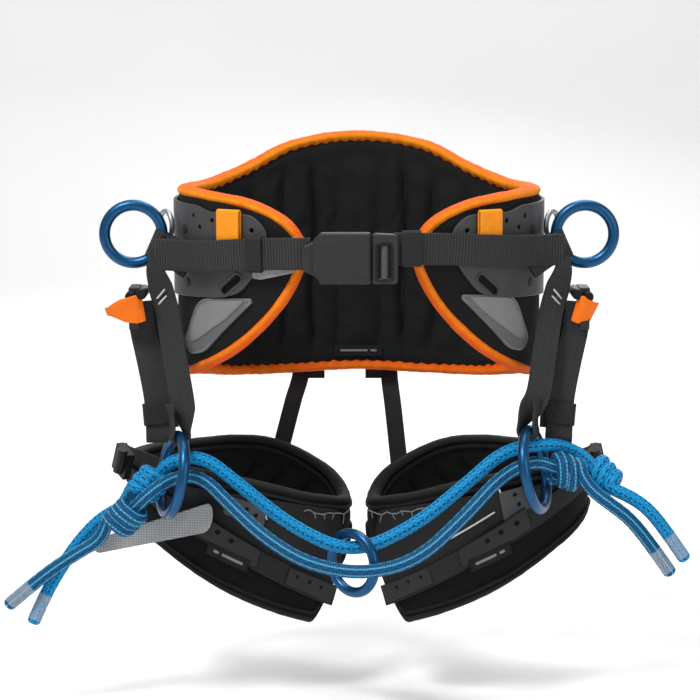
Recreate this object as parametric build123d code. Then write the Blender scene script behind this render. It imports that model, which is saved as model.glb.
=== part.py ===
from build123d import *
import os
from math import cos, degrees, hypot, pi, radians, sin, sqrt, tan

# Tree climbing saddle: waist pad with two side lobes, front belt, two padded leg loops, and two ropes
# that hang between two bridge rings. Millimetres, +Z up, the wearer faces -Y. Names ending in _r are on
# the wearer's right (-X), names ending in _l on the left (+X). The origin is the middle of the waist at
# the height of the front belt. Outlines are lists of (distance from the middle, height), seen from the
# front, and shared parts are drawn on the left side and mirrored.

SIDES = {"r": -1, "l": 1}
REACH = 300                          # longer than the object, for cutting blocks

# ---- waist pad ----
WAIST_A, WAIST_B = 170, 124          # outer half width and half depth of the pad
SHELL, FOAM, LINING = 2.5, 9, 3.5    # layers of the pad, outside to inside
PAD = SHELL + FOAM + LINING
BINDING = 9                          # width of the edge binding
BINDING_PROUD = 1.2                  # how far the binding stands out of the pad
LOBE = [(200, 56), (146, 54.5), (94, 46), (62, 28), (50, 4), (67, -39), (113, -87), (157, -114),
        (172, -120), (200, -121)]
BACK_TOP = [(200, 56), (150, 57), (116, 70), (68, 92), (0, 101)]
BACK_HEM = [(200, -121), (172, -120), (160, -127), (127, -134), (70, -136), (0, -134)]

# ---- side plates and what is on them ----
PLATE = 3.2
PLATE_A, PLATE_B = WAIST_A + BINDING_PROUD + PLATE, WAIST_B + BINDING_PROUD + PLATE
PLATE_OUTLINE = [(200, 47), (150, 43), (137, 38), (96, 37), (82, 22), (86, -2), (93, -15), (108, -34),
                 (125, -40), (200, -47)]
PLATE_CORNER = 4                     # rounding of the plate's corners
PLATE_BACK = 40                      # how far the plate reaches behind the middle of the waist
PLATE_HOLES = [(152, 33), (146, 23), (134, 30), (97, 23)]
PLATE_HOLE_R = 2.2
RIVETS = [(158, -30), (112, -24), (160, 20)]
RIVET_R, RIVET_HEAD = 4.5, 1.8
PATCH = 4
PATCH_OUTLINE = [(144, -52), (100, -48), (103, -55), (152, -98), (161, -94), (155, -70)]
TOOL_LOOP = (116, 28)
LOOP_WIDTH, LOOP_HEIGHT, LOOP_DEPTH, TAPE = 20, 30, 5.6, 1.5

# ---- side rings ----
SIDE_RING = (209, -40, 14)
SIDE_RING_R, SIDE_BAR_R = 26.7, 5.2  # middle of the bar, and the bar's own radius
SIDE_WRAP = 24                       # degrees below level at which the webbing holds the ring
SIDE_WEB_GAP = 0.5                   # room between webbing and ring
SIDE_WEB_W = 20
HANGER = (180.5, -19, 20.5)             # middle of the grey steel hanger beside each side ring
HANGER_R, HANGER_BAR_R, HANGER_TURN = 13, 2.4, 60

# ---- belt ----
BELT_A, BELT_B = 192, 134.5
WEB = 2.6
BELT = {"r": [(168, 8), (51, 17), (51, -12), (168, -22)], "l": [(168, 15), (51, 24), (51, -5), (168, -14)]}
KEEPER_X = (90, 105)                 # belt keeper, on the right side
KEEPER_T = 1.4
BUCKLE_Y, BUCKLE_T = -137, 13        # middle and thickness of the front buckle
BUCKLE_Z = (-21.5, 24)
HOUSING_X, FRAME_X = (-36, 10), (11, 34)
COVER_T = 2.5
WINDOW = (17, 27, -17, 13)           # opening in the buckle frame: left, right, low, high
BLADE = (22, 30, 4)                  # latch blade: reach into the housing, height, thickness
BLADE_GAP = 0.6

# ---- risers ----
RISER_W, RISER_T = 21, 3
RISER = [(187, -58, -8), (178, -66, -60), (166, -86, -110), (157, -103, -148)]
ADJUSTER = [(200, -64, -71), (194, -70, -102), (185.5, -78.5, -134), (183.5, -84.5, -161)]
RISER_KEEPER_Z, RISER_KEEPER_LEAN = (-156, -139), 12.5
ADJUSTER_BODY = (206, -62, -51)      # middle of the adjuster buckle
ADJUSTER_SIZE = (9, 34, 38)
TAB_PIN_R, TAB_LENGTH, TAB_W, TAB_T = 2.5, 30, 24, 4

# ---- rings that carry the ropes ----
BRIDGE_RING = {"r": (-170, -107, -200), "l": (160, -107, -195)}
BRIDGE_R, BRIDGE_BAR_R = 36, 5
BRIDGE_TURN, BRIDGE_LEAN = 18, 11    # degrees about the vertical, and of outward lean
CENTRE_R, CENTRE_BAR_R = 27, 4.75
CENTRE_TURN = 44

# ---- ropes: routes from the wearer's right to the left ----
ROPE_R = 6
KNOT_R, KNOT_LENGTH, KNOT_ROUND = 15, 26, 5
UPPER = [(-184, -104, -201), (-170, -106, -186), (-141, -111, -182), (-112, -114, -205),
         (-60, -122, -246), (-6, -132, -268), (50, -124, -244), (98, -114, -206), (132, -109, -176),
         (170, -103, -172), (191, -88, -178), (206, -87, -187), (217, -95, -198)]
UPPER_LOWEST = 5                     # the corner of the upper route that the centre ring hangs from
LOWER = [(-206, -121, -230), (-186, -131, -209), (-166, -114, -200), (-142, -115, -200),
         (-116, -128, -224), (-86, -145, -249), (-46, -160, -271), (4, -164, -279), (52, -158, -268),
         (95, -136, -232), (128, -117, -199), (158, -109, -186), (180, -107, -194)]
TAIL_UPPER_R = [(-217, -90, -233), (-238, -89, -244), (-258, -92, -265), (-278, -98, -294),
                (-291, -103, -318), (-300, -105, -339)]
TAIL_LOWER_R = [(-236, -107, -260), (-258, -110, -272), (-290, -113, -293), (-322, -112, -321)]
TAIL_LOWER_L = [(211, -119, -212), (227, -127, -223), (245, -123, -237), (265, -116, -262), (285, -111, -291)]
TAIL_UPPER_L = [(248, -117, -219), (264, -117, -231), (281, -113, -253), (298, -110, -278)]

# ---- leg loops ----
LEG_X, LEG_A, LEG_B = 114, 106, 78
LEG_PAD = 13
LEG_RIM = [(230, -198), (190, -198), (147, -203), (93, -213), (36, -230), (-5, -243)]
LEG_RIM_BACK = [(230, -198), (166, -197), (117, -195), (82, -198), (28, -219), (-5, -243)]
LEG_END = [(-5, -277), (9, -291), (44, -349)]
LEG_HEM = [(44, -349), (83, -335), (129, -315), (196, -274), (230, -248)]
LEG_HEM_BACK = [(-5, -277), (60, -287), (150, -276), (230, -248)]
LEG_SHELL = 2.5
LEG_SHELL_OUTLINE = [(195, -212), (95, -226), (20, -247), (16, -290), (31, -329), (195, -233)]
LEG_STRAP_OUTLINE = [(222, -199), (222, -219), (29, -337), (22, -318)]
LEG_PLATE_OUTLINE = [(152, -236), (157, -255), (97, -292), (92, -276)]
LEG_PLATE = 2.4
LEG_PLATE_HOLES = [(144, -250), (130, -258), (118, -266)]
LEG_BUCKLE = (221, -44, -199)
LEG_BUCKLE_SIZE = (24, 7, 27)
LEG_TURN, LEG_LEAN = 55, 24          # degrees the buckle faces outward, and its strap rises outward
ROLLER_R, ROLLER_LENGTH = 5, 25
ROLLER_GAP = 0.6                     # room between the roller and the buckle's face
ROLLER_SHIFT = (9, 8)                # the roller's place on the buckle: inboard, and up
TAG = [(-140, -230), (-135, -243), (-140, -256), (-243, -279), (-248, -268)]
TAG_T = 1.8
TAG_Y = (-88, -76)
REAR_STRAP = {"r": ((-58, -142), (-76, -206), 78), "l": ((31, -142), (40, -222), 66)}
REAR_W, REAR_T = 17, 2.4


# ---- helpers ----
def save(name, shape):
    """Write one sub-part."""
    solids = shape.solids()
    export_step(solids[0] if len(solids) == 1 else Compound(solids), f"parts/{name}.step")


def mirrored(points, side):
    return [(side * x, *rest) for x, *rest in points]


def shifted(points, distance):
    """The points moved sideways, to the left of the way they run."""
    moved = []
    for index, (x, z) in enumerate(points):
        x0, z0 = points[max(index - 1, 0)]
        x1, z1 = points[min(index + 1, len(points) - 1)]
        run = hypot(x1 - x0, z1 - z0)
        moved.append((x - distance * (z1 - z0) / run, z + distance * (x1 - x0) / run))
    return moved


def face_between(*edges):
    """The front-view face inside curves and lines, each a list of points and a kind."""
    wires = []
    for points, kind in edges:
        wires.append(Spline(*points) if kind == "curve" else Polyline(*points))
    return make_face(Curve() + wires)


def front_block(face, depth=REACH):
    """A front-view face made into a block in front of the middle of the waist."""
    return extrude(Plane.XZ * face, amount=depth)


def back_block(face, depth=REACH):
    return extrude(Plane.XZ * face, amount=-depth)


def polygon(points, rounding=0):
    face = make_face(Polyline(*points, close=True))
    return fillet(face.vertices(), rounding) if rounding else face


def tube_wall(a, b, thickness, x=0):
    """An upright oval wall, with outer half axes a and b."""
    section = Ellipse(a, b) - Ellipse(a - thickness, b - thickness)
    return Pos(x, 0, -REACH / 3) * extrude(section, amount=REACH, both=True)


def wall_place(a, b, x, z, side):
    """A plane on the front of an oval wall: its own x runs level along the wall, its z points out."""
    y = -b * sqrt(1 - (x / a) ** 2)
    outward = Vector(side * x / a**2, y / b**2, 0).normalized()
    return Plane(origin=(side * x, y, z), x_dir=Vector(0, 0, 1).cross(outward), z_dir=outward)


def ribbon(route, width, thickness):
    """A flat strap through (x, y, z) points that all lie one below another."""
    left = [(x - width / 2, z) for x, y, z in route]
    right = [(x + width / 2, z) for x, y, z in reversed(route)]
    near = [(y - thickness / 2, z) for x, y, z in route]
    far = [(y + thickness / 2, z) for x, y, z in reversed(route)]
    seen = extrude(Plane.XZ * polygon(left + right), amount=REACH, both=True)
    return seen & extrude(Plane.YZ * polygon(near + far), amount=REACH, both=True)


def rope_path(route):
    """Straight runs joined by arcs as large as the runs allow, with the arcs' radii."""
    points = [Vector(*point) for point in route]
    radii = []
    for before, here, after in zip(points, points[1:], points[2:]):
        turn = radians((here - before).get_angle(after - here))
        shorter = min((here - before).length, (after - here).length)
        radii.append(0.45 * shorter / tan(turn / 2))
    return FilletPolyline(*points, radius=radii), radii


def rope(name, route):
    """A rope along a route, swept and saved. Prints its arcs and its volume against its length."""
    path, radii = rope_path(route)
    section = Plane(origin=path @ 0, z_dir=path % 0) * Circle(ROPE_R)
    solid = sweep(section, path)
    expected = path.length * pi * ROPE_R**2
    print(f"{name}: length {path.length:.1f}, volume ratio {solid.volume / expected:.4f}, "
          f"radii {[round(radius) for radius in radii]}")
    save(name, solid)


def knot(start, before):
    """A stopper knot's outer shape on the end of a rope, and the point where its tail comes out."""
    axis = (Vector(*start) - Vector(*before)).normalized()
    barrel = Cylinder(KNOT_R, KNOT_LENGTH, align=(Align.CENTER, Align.CENTER, Align.MIN))
    barrel = fillet(barrel.edges().filter_by(GeomType.CIRCLE), KNOT_ROUND)
    return Plane(origin=start, z_dir=axis) * barrel, tuple(Vector(*start) + axis * KNOT_LENGTH)


def ring(radius, bar_radius):
    return Torus(radius, bar_radius)


# ---- waist pad ----
def waist_region(inset):
    """The front-view region of the whole pad, its edge moved in by inset."""
    top = shifted(BACK_TOP, inset)
    hem = shifted(BACK_HEM, -inset)
    top_full = top + mirrored(reversed(top[:-1]), -1)
    hem_full = hem + mirrored(reversed(hem[:-1]), -1)
    side = [[top_full[-1], hem_full[-1]], [hem_full[0], top_full[0]]]
    back = face_between((top_full, "curve"), (side[0], "line"), (hem_full, "curve"), (side[1], "line"))
    region = back_block(back)
    lobe = shifted(LOBE, inset)
    for side in SIDES.values():
        edge = mirrored(lobe, side)
        region += front_block(face_between((edge, "curve"), ([edge[-1], edge[0]], "line")))
    return region


def waist():
    inner = waist_region(BINDING)
    depth = 0
    for name, thickness in (("waist_shell", SHELL), ("waist_foam", FOAM), ("waist_lining", LINING)):
        save(name, tube_wall(WAIST_A - depth, WAIST_B - depth, thickness) & inner)
        depth += thickness
    band = tube_wall(WAIST_A + BINDING_PROUD, WAIST_B + BINDING_PROUD, PAD + 2 * BINDING_PROUD)
    save("waist_binding", (band & waist_region(0)) - inner)


# ---- side plates ----
def side_plate(side):
    """Stiff moulded plate round the side of the pad, with a slot and adjustment holes."""
    outline = polygon(mirrored(PLATE_OUTLINE, side))
    slot = Pos(side * 117, -27) * Rot(0, 0, side * 38) * SlotOverall(26, 7)
    wall = tube_wall(PLATE_A, PLATE_B, PLATE)
    plate = wall & front_block(outline - slot)
    back = polygon(mirrored([(200, 47), (PLATE_A / 2, 47), (PLATE_A / 2, -47), (200, -47)], side))
    plate += wall & back_block(back, PLATE_BACK)
    for x, z in PLATE_HOLES:
        plate -= wall_place(PLATE_A, PLATE_B, x, z, side) * Cylinder(PLATE_HOLE_R, 5 * PLATE)
    return plate


def rivets():
    heads = Part()
    for side in SIDES.values():
        for x, z in RIVETS:
            dome = Cylinder(RIVET_R, RIVET_HEAD, align=(Align.CENTER, Align.CENTER, Align.MIN))
            dome = chamfer(dome.edges().group_by(Axis.Z)[-1], RIVET_HEAD / 2)
            heads += wall_place(PLATE_A + 0.4, PLATE_B + 0.4, x, z, side) * dome
    return heads


def grip_patch(side):
    outline = polygon(mirrored(PATCH_OUTLINE, side), 2)
    return tube_wall(WAIST_A + PATCH, WAIST_B + PATCH, PATCH) & front_block(outline)


def tool_loop(side):
    """A folded tape loop that stands on the plate."""
    x, z = TOOL_LOOP
    outside = SlotOverall(LOOP_HEIGHT, LOOP_DEPTH, rotation=90)
    loop = outside - SlotOverall(LOOP_HEIGHT - 2 * TAPE, LOOP_DEPTH - 2 * TAPE, rotation=90)
    place = wall_place(PLATE_A, PLATE_B, x, z, side)
    across = Plane(origin=place.origin + place.z_dir * (LOOP_DEPTH / 2 + 0.6), x_dir=place.z_dir,
                   z_dir=place.x_dir)
    return across * extrude(loop, amount=LOOP_WIDTH / 2, both=True)


# ---- side rings ----
def side_ring_frame(side):
    """The ring's plane, its hinge point on the bar and the bar's direction there."""
    x, y, z = SIDE_RING
    plane = Plane(origin=(side * x, y, z), x_dir=(side, 0, 0), z_dir=(0, -1, 0))
    angle = radians(SIDE_WRAP)
    hold = Vector(side * (x - SIDE_RING_R * cos(angle)), y, z - SIDE_RING_R * sin(angle))
    along = Vector(-side * sin(angle), 0, cos(angle))
    return plane, hold, along


def side_ring(side):
    plane, _, _ = side_ring_frame(side)
    return plane * ring(SIDE_RING_R, SIDE_BAR_R)


def ring_loop(side):
    """Webbing folded round the side ring's bar and sewn to the side plate."""
    _, hold, along = side_ring_frame(side)
    inside = SIDE_BAR_R + 2.2 + SIDE_WEB_GAP
    outside = inside + WEB
    eye = Circle(outside) - Circle(inside)
    strap = Pos(-(inside + outside) / 2 - 2.2, 0) * Rectangle(5, 2 * WEB)
    section = eye + (strap - Circle(inside))
    plane = Plane(origin=hold, x_dir=(side * cos(radians(SIDE_WRAP)), 0, sin(radians(SIDE_WRAP))), z_dir=along)
    return plane * extrude(section, amount=SIDE_WEB_W / 2, both=True)


def hanger_ring(side):
    x, y, z = HANGER
    turn = radians(HANGER_TURN)
    place = Plane(origin=(side * x, y, z), x_dir=(side * cos(turn), sin(turn), 0),
                  z_dir=(side * sin(turn), -cos(turn), 0))
    return place * Torus(HANGER_R, HANGER_BAR_R)


# ---- belt and front buckle ----
def belt(name, side):
    return tube_wall(BELT_A, BELT_B, WEB) & front_block(polygon(mirrored(BELT[name], side)))


def buckle_box(x_range, z_range, y, thickness, rounding):
    """A block seen from the front as x_range by z_range, with rounded upright and cross edges."""
    x0, x1 = x_range
    z0, z1 = z_range
    block = Pos((x0 + x1) / 2, y, (z0 + z1) / 2) * Box(x1 - x0, thickness, z1 - z0)
    return fillet(block.edges().filter_by(Axis.Y), rounding)


def front_buckle():
    reach, blade_height, blade_t = BLADE
    middle = sum(BUCKLE_Z) / 2
    housing = buckle_box(HOUSING_X, BUCKLE_Z, BUCKLE_Y, BUCKLE_T, 3)
    blade_x = (HOUSING_X[1] - reach, HOUSING_X[1])
    room = (blade_x[0] - BLADE_GAP, blade_x[1] + 1)
    room_z = (middle - blade_height / 2 - BLADE_GAP, middle + blade_height / 2 + BLADE_GAP)
    housing -= buckle_box(room, room_z, BUCKLE_Y, blade_t + 2 * BLADE_GAP, 0.5)
    tongue = polygon([(-36, 18), (-50, 12), (-50, -10), (-36, -16)], 1)
    housing += Plane.XZ.offset(-BUCKLE_Y) * extrude(tongue, amount=3, both=True)
    save("buckle_housing", housing)
    cover_z = (BUCKLE_Z[0] + 1.5, BUCKLE_Z[1] - 1.5)
    cover_y = BUCKLE_Y - BUCKLE_T / 2 - COVER_T / 2
    save("buckle_cover", buckle_box((HOUSING_X[0] + 1.5, HOUSING_X[1] - 1), cover_z, cover_y, COVER_T, 3))
    frame = buckle_box(FRAME_X, BUCKLE_Z, BUCKLE_Y, BUCKLE_T - 2, 3)
    left, right, low, high = WINDOW
    frame -= buckle_box((left, right), (low, high), BUCKLE_Y, 2 * BUCKLE_T, 1)
    blade_z = (middle - blade_height / 2, middle + blade_height / 2)
    frame += buckle_box((blade_x[0], FRAME_X[0] + 1), blade_z, BUCKLE_Y, blade_t, 0.5)
    save("buckle_frame", frame)
    bar = Pos((left + right) / 2, BUCKLE_Y, (low + high) / 2) * Cylinder(3, high - low)
    save("buckle_bar", bar)


# ---- risers and adjusters ----
def riser(side):
    return ribbon(mirrored(RISER, side), RISER_W, RISER_T)


def adjuster_strap(side):
    return ribbon(mirrored(ADJUSTER, side), RISER_W, RISER_T)


def adjuster_buckle(side):
    """Frame that the adjuster strap runs through, with ears that hold the tab's pin."""
    x, y, z = ADJUSTER_BODY
    depth, width, height = ADJUSTER_SIZE
    body = Box(depth, width, height)
    body -= Pos(side * depth / 4, 0, 0) * Box(depth, width - 8, height - 10)
    body = Pos(side * x, y, z) * body
    return body


def release_tab(side):
    """Tab on a pin between the adjuster's ears; it lifts to free the strap."""
    x, y, z = ADJUSTER_BODY
    depth, width, height = ADJUSTER_SIZE
    pin_z = z + height / 2 - 9
    pin = Pos(side * (x + depth / 4), y, pin_z) * Rot(90, 0, 0) * Cylinder(TAB_PIN_R, width - 8.6)
    blade = Pos(side * (x + depth / 4 + TAB_LENGTH / 2), y, pin_z - 3) * Rot(0, side * 14, 0) * Box(
        TAB_LENGTH, TAB_W, TAB_T)
    return pin + blade


# ---- rope rings ----
def bridge_plane(side_name):
    """The ring's plane: turned about the vertical, and leaning outward at its foot."""
    side = SIDES[side_name]
    turn, lean = radians(BRIDGE_TURN), radians(BRIDGE_LEAN)
    forward = Vector(-side * sin(turn), -cos(turn), 0)
    normal_level = Vector(cos(turn), -side * sin(turn), 0)
    up = (Vector(0, 0, cos(lean)) - normal_level * (side * sin(lean))).normalized()
    return Plane(origin=BRIDGE_RING[side_name], x_dir=forward, z_dir=forward.cross(up))


def centre_ring_place():
    """The slide arc of the centre ring: the arc at the upper rope's lowest corner."""
    before, here, after = (Vector(*point) for point in UPPER[UPPER_LOWEST - 1:UPPER_LOWEST + 2])
    toward_before = (before - here).normalized()
    toward_after = (after - here).normalized()
    turn = pi - radians(toward_before.get_angle(toward_after))
    shorter = min((before - here).length, (after - here).length)
    radius = 0.45 * shorter / tan(turn / 2)
    inward = (toward_before + toward_after).normalized()
    pivot = here + inward * (radius / cos(turn / 2))
    axis = toward_before.cross(toward_after).normalized()
    return pivot, axis, inward, radius, turn


def centre_ring():
    pivot, axis, inward, radius, _ = centre_ring_place()
    rope_low = pivot - inward * radius
    middle = rope_low - Vector(0, 0, CENTRE_R - CENTRE_BAR_R - ROPE_R - 2.5)
    turned = Plane(origin=middle, x_dir=(cos(radians(CENTRE_TURN)), -sin(radians(CENTRE_TURN)), 0),
                   z_dir=(-sin(radians(CENTRE_TURN)), -cos(radians(CENTRE_TURN)), 0))
    return turned * ring(CENTRE_R, CENTRE_BAR_R)


# ---- ropes ----
def ropes():
    rope("rope_upper", UPPER)
    rope("rope_lower", LOWER)
    ends = {
        "upper_r": (UPPER[0], UPPER[1], TAIL_UPPER_R),
        "upper_l": (UPPER[-1], UPPER[-2], TAIL_UPPER_L),
        "lower_r": (LOWER[0], LOWER[1], TAIL_LOWER_R),
        "lower_l": (LOWER[-1], LOWER[-2], TAIL_LOWER_L),
    }
    for name, (start, before, tail) in ends.items():
        barrel, out = knot(start, before)
        save(f"knot_{name}", barrel)
        rope(f"tail_{name}", [out] + tail)


# ---- leg loops ----
def leg_region(side):
    front = face_between(
        (mirrored(LEG_RIM, side), "curve"),
        (mirrored([LEG_RIM[-1], LEG_END[0]], side), "line"),
        (mirrored(LEG_END, side), "line"),
        (mirrored(LEG_HEM, side), "curve"),
        (mirrored([LEG_HEM[-1], LEG_RIM[0]], side), "line"),
    )
    back = face_between(
        (mirrored(LEG_RIM_BACK, side), "curve"),
        (mirrored([LEG_RIM_BACK[-1], LEG_HEM_BACK[0]], side), "line"),
        (mirrored(LEG_HEM_BACK, side), "curve"),
        (mirrored([LEG_HEM_BACK[-1], LEG_RIM_BACK[0]], side), "line"),
    )
    return front_block(front) + back_block(back)


def leg_layer(side, depth, thickness, outline):
    """A layer on the front of the leg pad: depth is its inner face's distance from the pad."""
    reach = depth + thickness
    wall = tube_wall(LEG_A + reach, LEG_B + reach, thickness, side * LEG_X)
    return wall & front_block(polygon(mirrored(outline, side)))


def leg_buckle_place(side):
    """The buckle's plane: x along its strap, z along the roller, and y into the leg."""
    turn, lean = radians(LEG_TURN), radians(LEG_LEAN)
    x, y, z = LEG_BUCKLE
    outward = Vector(side * cos(turn), sin(turn), 0)
    along = outward * cos(lean) + Vector(0, 0, sin(lean))
    upward = Vector(0, 0, cos(lean)) - outward * sin(lean)
    return Plane(origin=(side * x, y, z), x_dir=along * side, z_dir=upward)


def roller_offset(side):
    inboard, up = ROLLER_SHIFT
    return Pos(-side * inboard, -LEG_BUCKLE_SIZE[1] / 2 - ROLLER_R - ROLLER_GAP, up)


def leg_loop(name, side):
    pad = tube_wall(LEG_A, LEG_B, LEG_PAD, side * LEG_X)
    save(f"leg_pad_{name}", pad & leg_region(side))
    save(f"leg_shell_{name}", leg_layer(side, 0, LEG_SHELL, LEG_SHELL_OUTLINE))
    save(f"leg_strap_{name}", leg_layer(side, LEG_SHELL, WEB, LEG_STRAP_OUTLINE))
    plate = leg_layer(side, LEG_SHELL + WEB, LEG_PLATE, LEG_PLATE_OUTLINE)
    for x, z in LEG_PLATE_HOLES:
        depth = LEG_SHELL + WEB + LEG_PLATE
        y = -(LEG_B + depth) * sqrt(1 - ((x - LEG_X) / (LEG_A + depth)) ** 2)
        plate -= Pos(side * x, y, z) * Rot(90, 0, 0) * Cylinder(PLATE_HOLE_R, 12)
    save(f"leg_plate_{name}", plate)
    width, depth, height = LEG_BUCKLE_SIZE
    place = leg_buckle_place(side)
    body = Box(width, depth, height) - Pos(0, -depth / 2, 0) * Box(width - 8, depth, height - 10)
    save(f"leg_buckle_{name}", place * fillet(body.edges().filter_by(Axis.Y), 1.2))
    save(f"leg_roller_{name}", place * roller_offset(side) * Cylinder(ROLLER_R, ROLLER_LENGTH))


def leg_tag():
    """Woven tag on the right leg loop."""
    near, far = TAG_Y
    seen = front_block(polygon(TAG))
    strip = polygon([(-130, near), (-130, near + TAG_T), (-255, far + TAG_T), (-255, far)])
    return seen & (Pos(0, 0, -REACH) * extrude(strip, amount=REACH))


def rear_strap(name):
    (x0, z0), (x1, z1), y1 = REAR_STRAP[name]
    y0 = WAIST_B + BINDING_PROUD + REAR_T
    return ribbon([(x0, y0, z0 + 12), (x0, y0, z0), (x1, y1, z1)], REAR_W, REAR_T)


def strap_keepers():
    """Elastic bands round the belt, and round each pair of riser straps."""
    bands = Part()
    x0, x1 = KEEPER_X
    outline = polygon([(-x1, 17), (-x0, 18), (-x0, -16), (-x1, -17)])
    bands += tube_wall(BELT_A + KEEPER_T, BELT_B + KEEPER_T, KEEPER_T) & front_block(outline)
    z0, z1 = RISER_KEEPER_Z
    (x0, y0, _), (x1, y1, _) = ADJUSTER[2:]
    for side in SIDES.values():
        hole = Box(RISER_W + 1, RISER_T + 1, z1 - z0)
        band = offset(hole, KEEPER_T) & Box(2 * RISER_W, RISER_W, z1 - z0)
        place = Pos(side * (x0 + x1) / 2, (y0 + y1) / 2, (z0 + z1) / 2)
        bands += place * Rot(-RISER_KEEPER_LEAN, 0, 0) * (band - hole)
    return bands


def build():
    pivot, axis, _, radius, turn = centre_ring_place()
    print(f"centre ring slides on an arc about {pivot}, axis {axis}, radius {radius:.1f}, "
          f"turn {degrees(turn):.1f}")
    for name, side in SIDES.items():
        _, hold, along = side_ring_frame(side)
        place = bridge_plane(name)
        print(f"side ring {name}: {hold}, {along}; bridge ring {name}: "
              f"{place.origin + place.y_dir * BRIDGE_R}, {place.x_dir}")
        roller = leg_buckle_place(side) * roller_offset(side)
        print(f"roller {name}: {roller.position}, {leg_buckle_place(side).z_dir}")
    waist()
    for name, side in SIDES.items():
        save(f"side_plate_{name}", side_plate(side))
        save(f"grip_patch_{name}", grip_patch(side))
        save(f"tool_loop_{name}", tool_loop(side))
        save(f"side_ring_{name}", side_ring(side))
        save(f"ring_loop_{name}", ring_loop(side))
        save(f"hanger_ring_{name}", hanger_ring(side))
        save(f"belt_{name}", belt(name, side))
        save(f"riser_strap_{name}", riser(side))
        save(f"adjuster_strap_{name}", adjuster_strap(side))
        save(f"adjuster_buckle_{name}", adjuster_buckle(side))
        save(f"release_tab_{name}", release_tab(side))
        save(f"bridge_ring_{name}", bridge_plane(name) * ring(BRIDGE_R, BRIDGE_BAR_R))
        save(f"rear_strap_{name}", rear_strap(name))
        leg_loop(name, side)
    save("plate_rivets", rivets())
    save("strap_keepers", strap_keepers())
    save("centre_ring", centre_ring())
    save("leg_tag_r", leg_tag())
    front_buckle()
    ropes()


os.makedirs("parts", exist_ok=True)
build()
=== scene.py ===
from math import asin, cos, hypot, pi, radians, sin

import bmesh
import bpy
import numpy as np
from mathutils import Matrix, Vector


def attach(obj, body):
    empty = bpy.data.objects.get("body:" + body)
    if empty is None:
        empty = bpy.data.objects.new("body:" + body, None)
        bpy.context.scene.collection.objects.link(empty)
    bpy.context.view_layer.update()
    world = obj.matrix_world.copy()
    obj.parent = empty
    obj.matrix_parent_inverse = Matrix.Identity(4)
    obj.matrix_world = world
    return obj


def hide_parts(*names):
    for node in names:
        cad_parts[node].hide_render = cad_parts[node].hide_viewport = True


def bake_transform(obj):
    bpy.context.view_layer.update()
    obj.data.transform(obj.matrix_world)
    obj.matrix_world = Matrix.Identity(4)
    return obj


# The looks of the tree climbing saddle, in metres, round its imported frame. Most pieces lie on upright
# oval walls, where a place is (run, height, depth): run is the distance along the wall from its front
# middle, and depth is how far out of the wall. Names ending in _r are on the wearer's right, -X.

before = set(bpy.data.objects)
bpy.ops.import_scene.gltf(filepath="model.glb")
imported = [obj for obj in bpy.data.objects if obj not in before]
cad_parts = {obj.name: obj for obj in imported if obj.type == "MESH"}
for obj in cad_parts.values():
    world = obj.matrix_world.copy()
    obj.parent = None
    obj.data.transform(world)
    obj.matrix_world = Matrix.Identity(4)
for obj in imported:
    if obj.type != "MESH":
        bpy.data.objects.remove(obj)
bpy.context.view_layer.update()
scene = bpy.context.scene
SIDES = {"r": -1, "l": 1}

# ---- places that repeat the frame's own outlines ----
WAIST = (0.170, 0.124)                    # half axes of the pad's outside
PAD = 0.015
TOP_BACK = [(0, 0.101), (0.068, 0.092), (0.116, 0.070), (0.150, 0.058)]
LOBE = [(0.146, 0.0545), (0.094, 0.046), (0.062, 0.028), (0.050, 0.004), (0.067, -0.039),
        (0.113, -0.087), (0.157, -0.114)]
HEM_BACK = [(0.160, -0.127), (0.127, -0.134), (0.070, -0.136), (0, -0.134)]
SIDE_TOP, SIDE_LOW = 0.056, -0.1205
LINING_SEAMS = [(0.022, 0.0014), (0.047, 0.0055), (0.078, 0.0045), (0.112, 0.0035), (0.145, 0.0030)]

PRESSURE = -4.0
PIPING_ROUND = 0.042                      # distance round the rolled edge
SCALLOP = 0.0115                          # from one pucker of the rolled edge to the next
BACK_BAND = (0.1665, [(0.044, 0.0022), (0.026, 0.0042)])      # its ends' x, and each layer's width and lift
BACK_TACKS = (0.050, 0.105)

PLATE = (0.1744, 0.1284)
PLATE_T = 0.0032
PLATE_FRONT = [(0.150, 0.043), (0.137, 0.038), (0.096, 0.037), (0.082, 0.022), (0.086, -0.002),
               (0.093, -0.015), (0.108, -0.034), (0.125, -0.040)]
PLATE_ROUNDS = [0.004, 0.004, 0.010, 0.010, 0.012, 0.010, 0.008, 0.010]
PLATE_SIDE = (0.045, -0.0446)
PLATE_BACK = (0.168, 0.047)               # where the plate ends behind the hip, and half its height there
PLATE_HOLES = [(0.152, 0.033), (0.146, 0.023), (0.134, 0.030), (0.097, 0.023)]
PLATE_HOLE_R = 0.0022
PLATE_SLOT = (0.117, -0.027, 0.026, 0.007, -38)
RIVETS = [(0.1585, -0.0290), (0.1200, -0.0060), (0.1600, 0.0200)]
PATCH = (0.174, 0.128)
PATCH_FRONT = [(0.1480, -0.0425), (0.0985, -0.0385), (0.0975, -0.0425), (0.1440, -0.0930),
               (0.1570, -0.0960), (0.1630, -0.0850)]
PATCH_FACE = [(0.1460, -0.0445), (0.1035, -0.0405), (0.1210, -0.0590), (0.1515, -0.0835), (0.1600, -0.0825)]
PATCH_SHIFT = {"r": (0.0, 0.0), "l": (-0.005, 0.004)}
PATCH_T = 0.004
PATCH_ROUNDS = [0.013, 0.004, 0.004, 0.012, 0.006, 0.012]
TOOL_LOOP = (0.116, 0.028)

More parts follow.
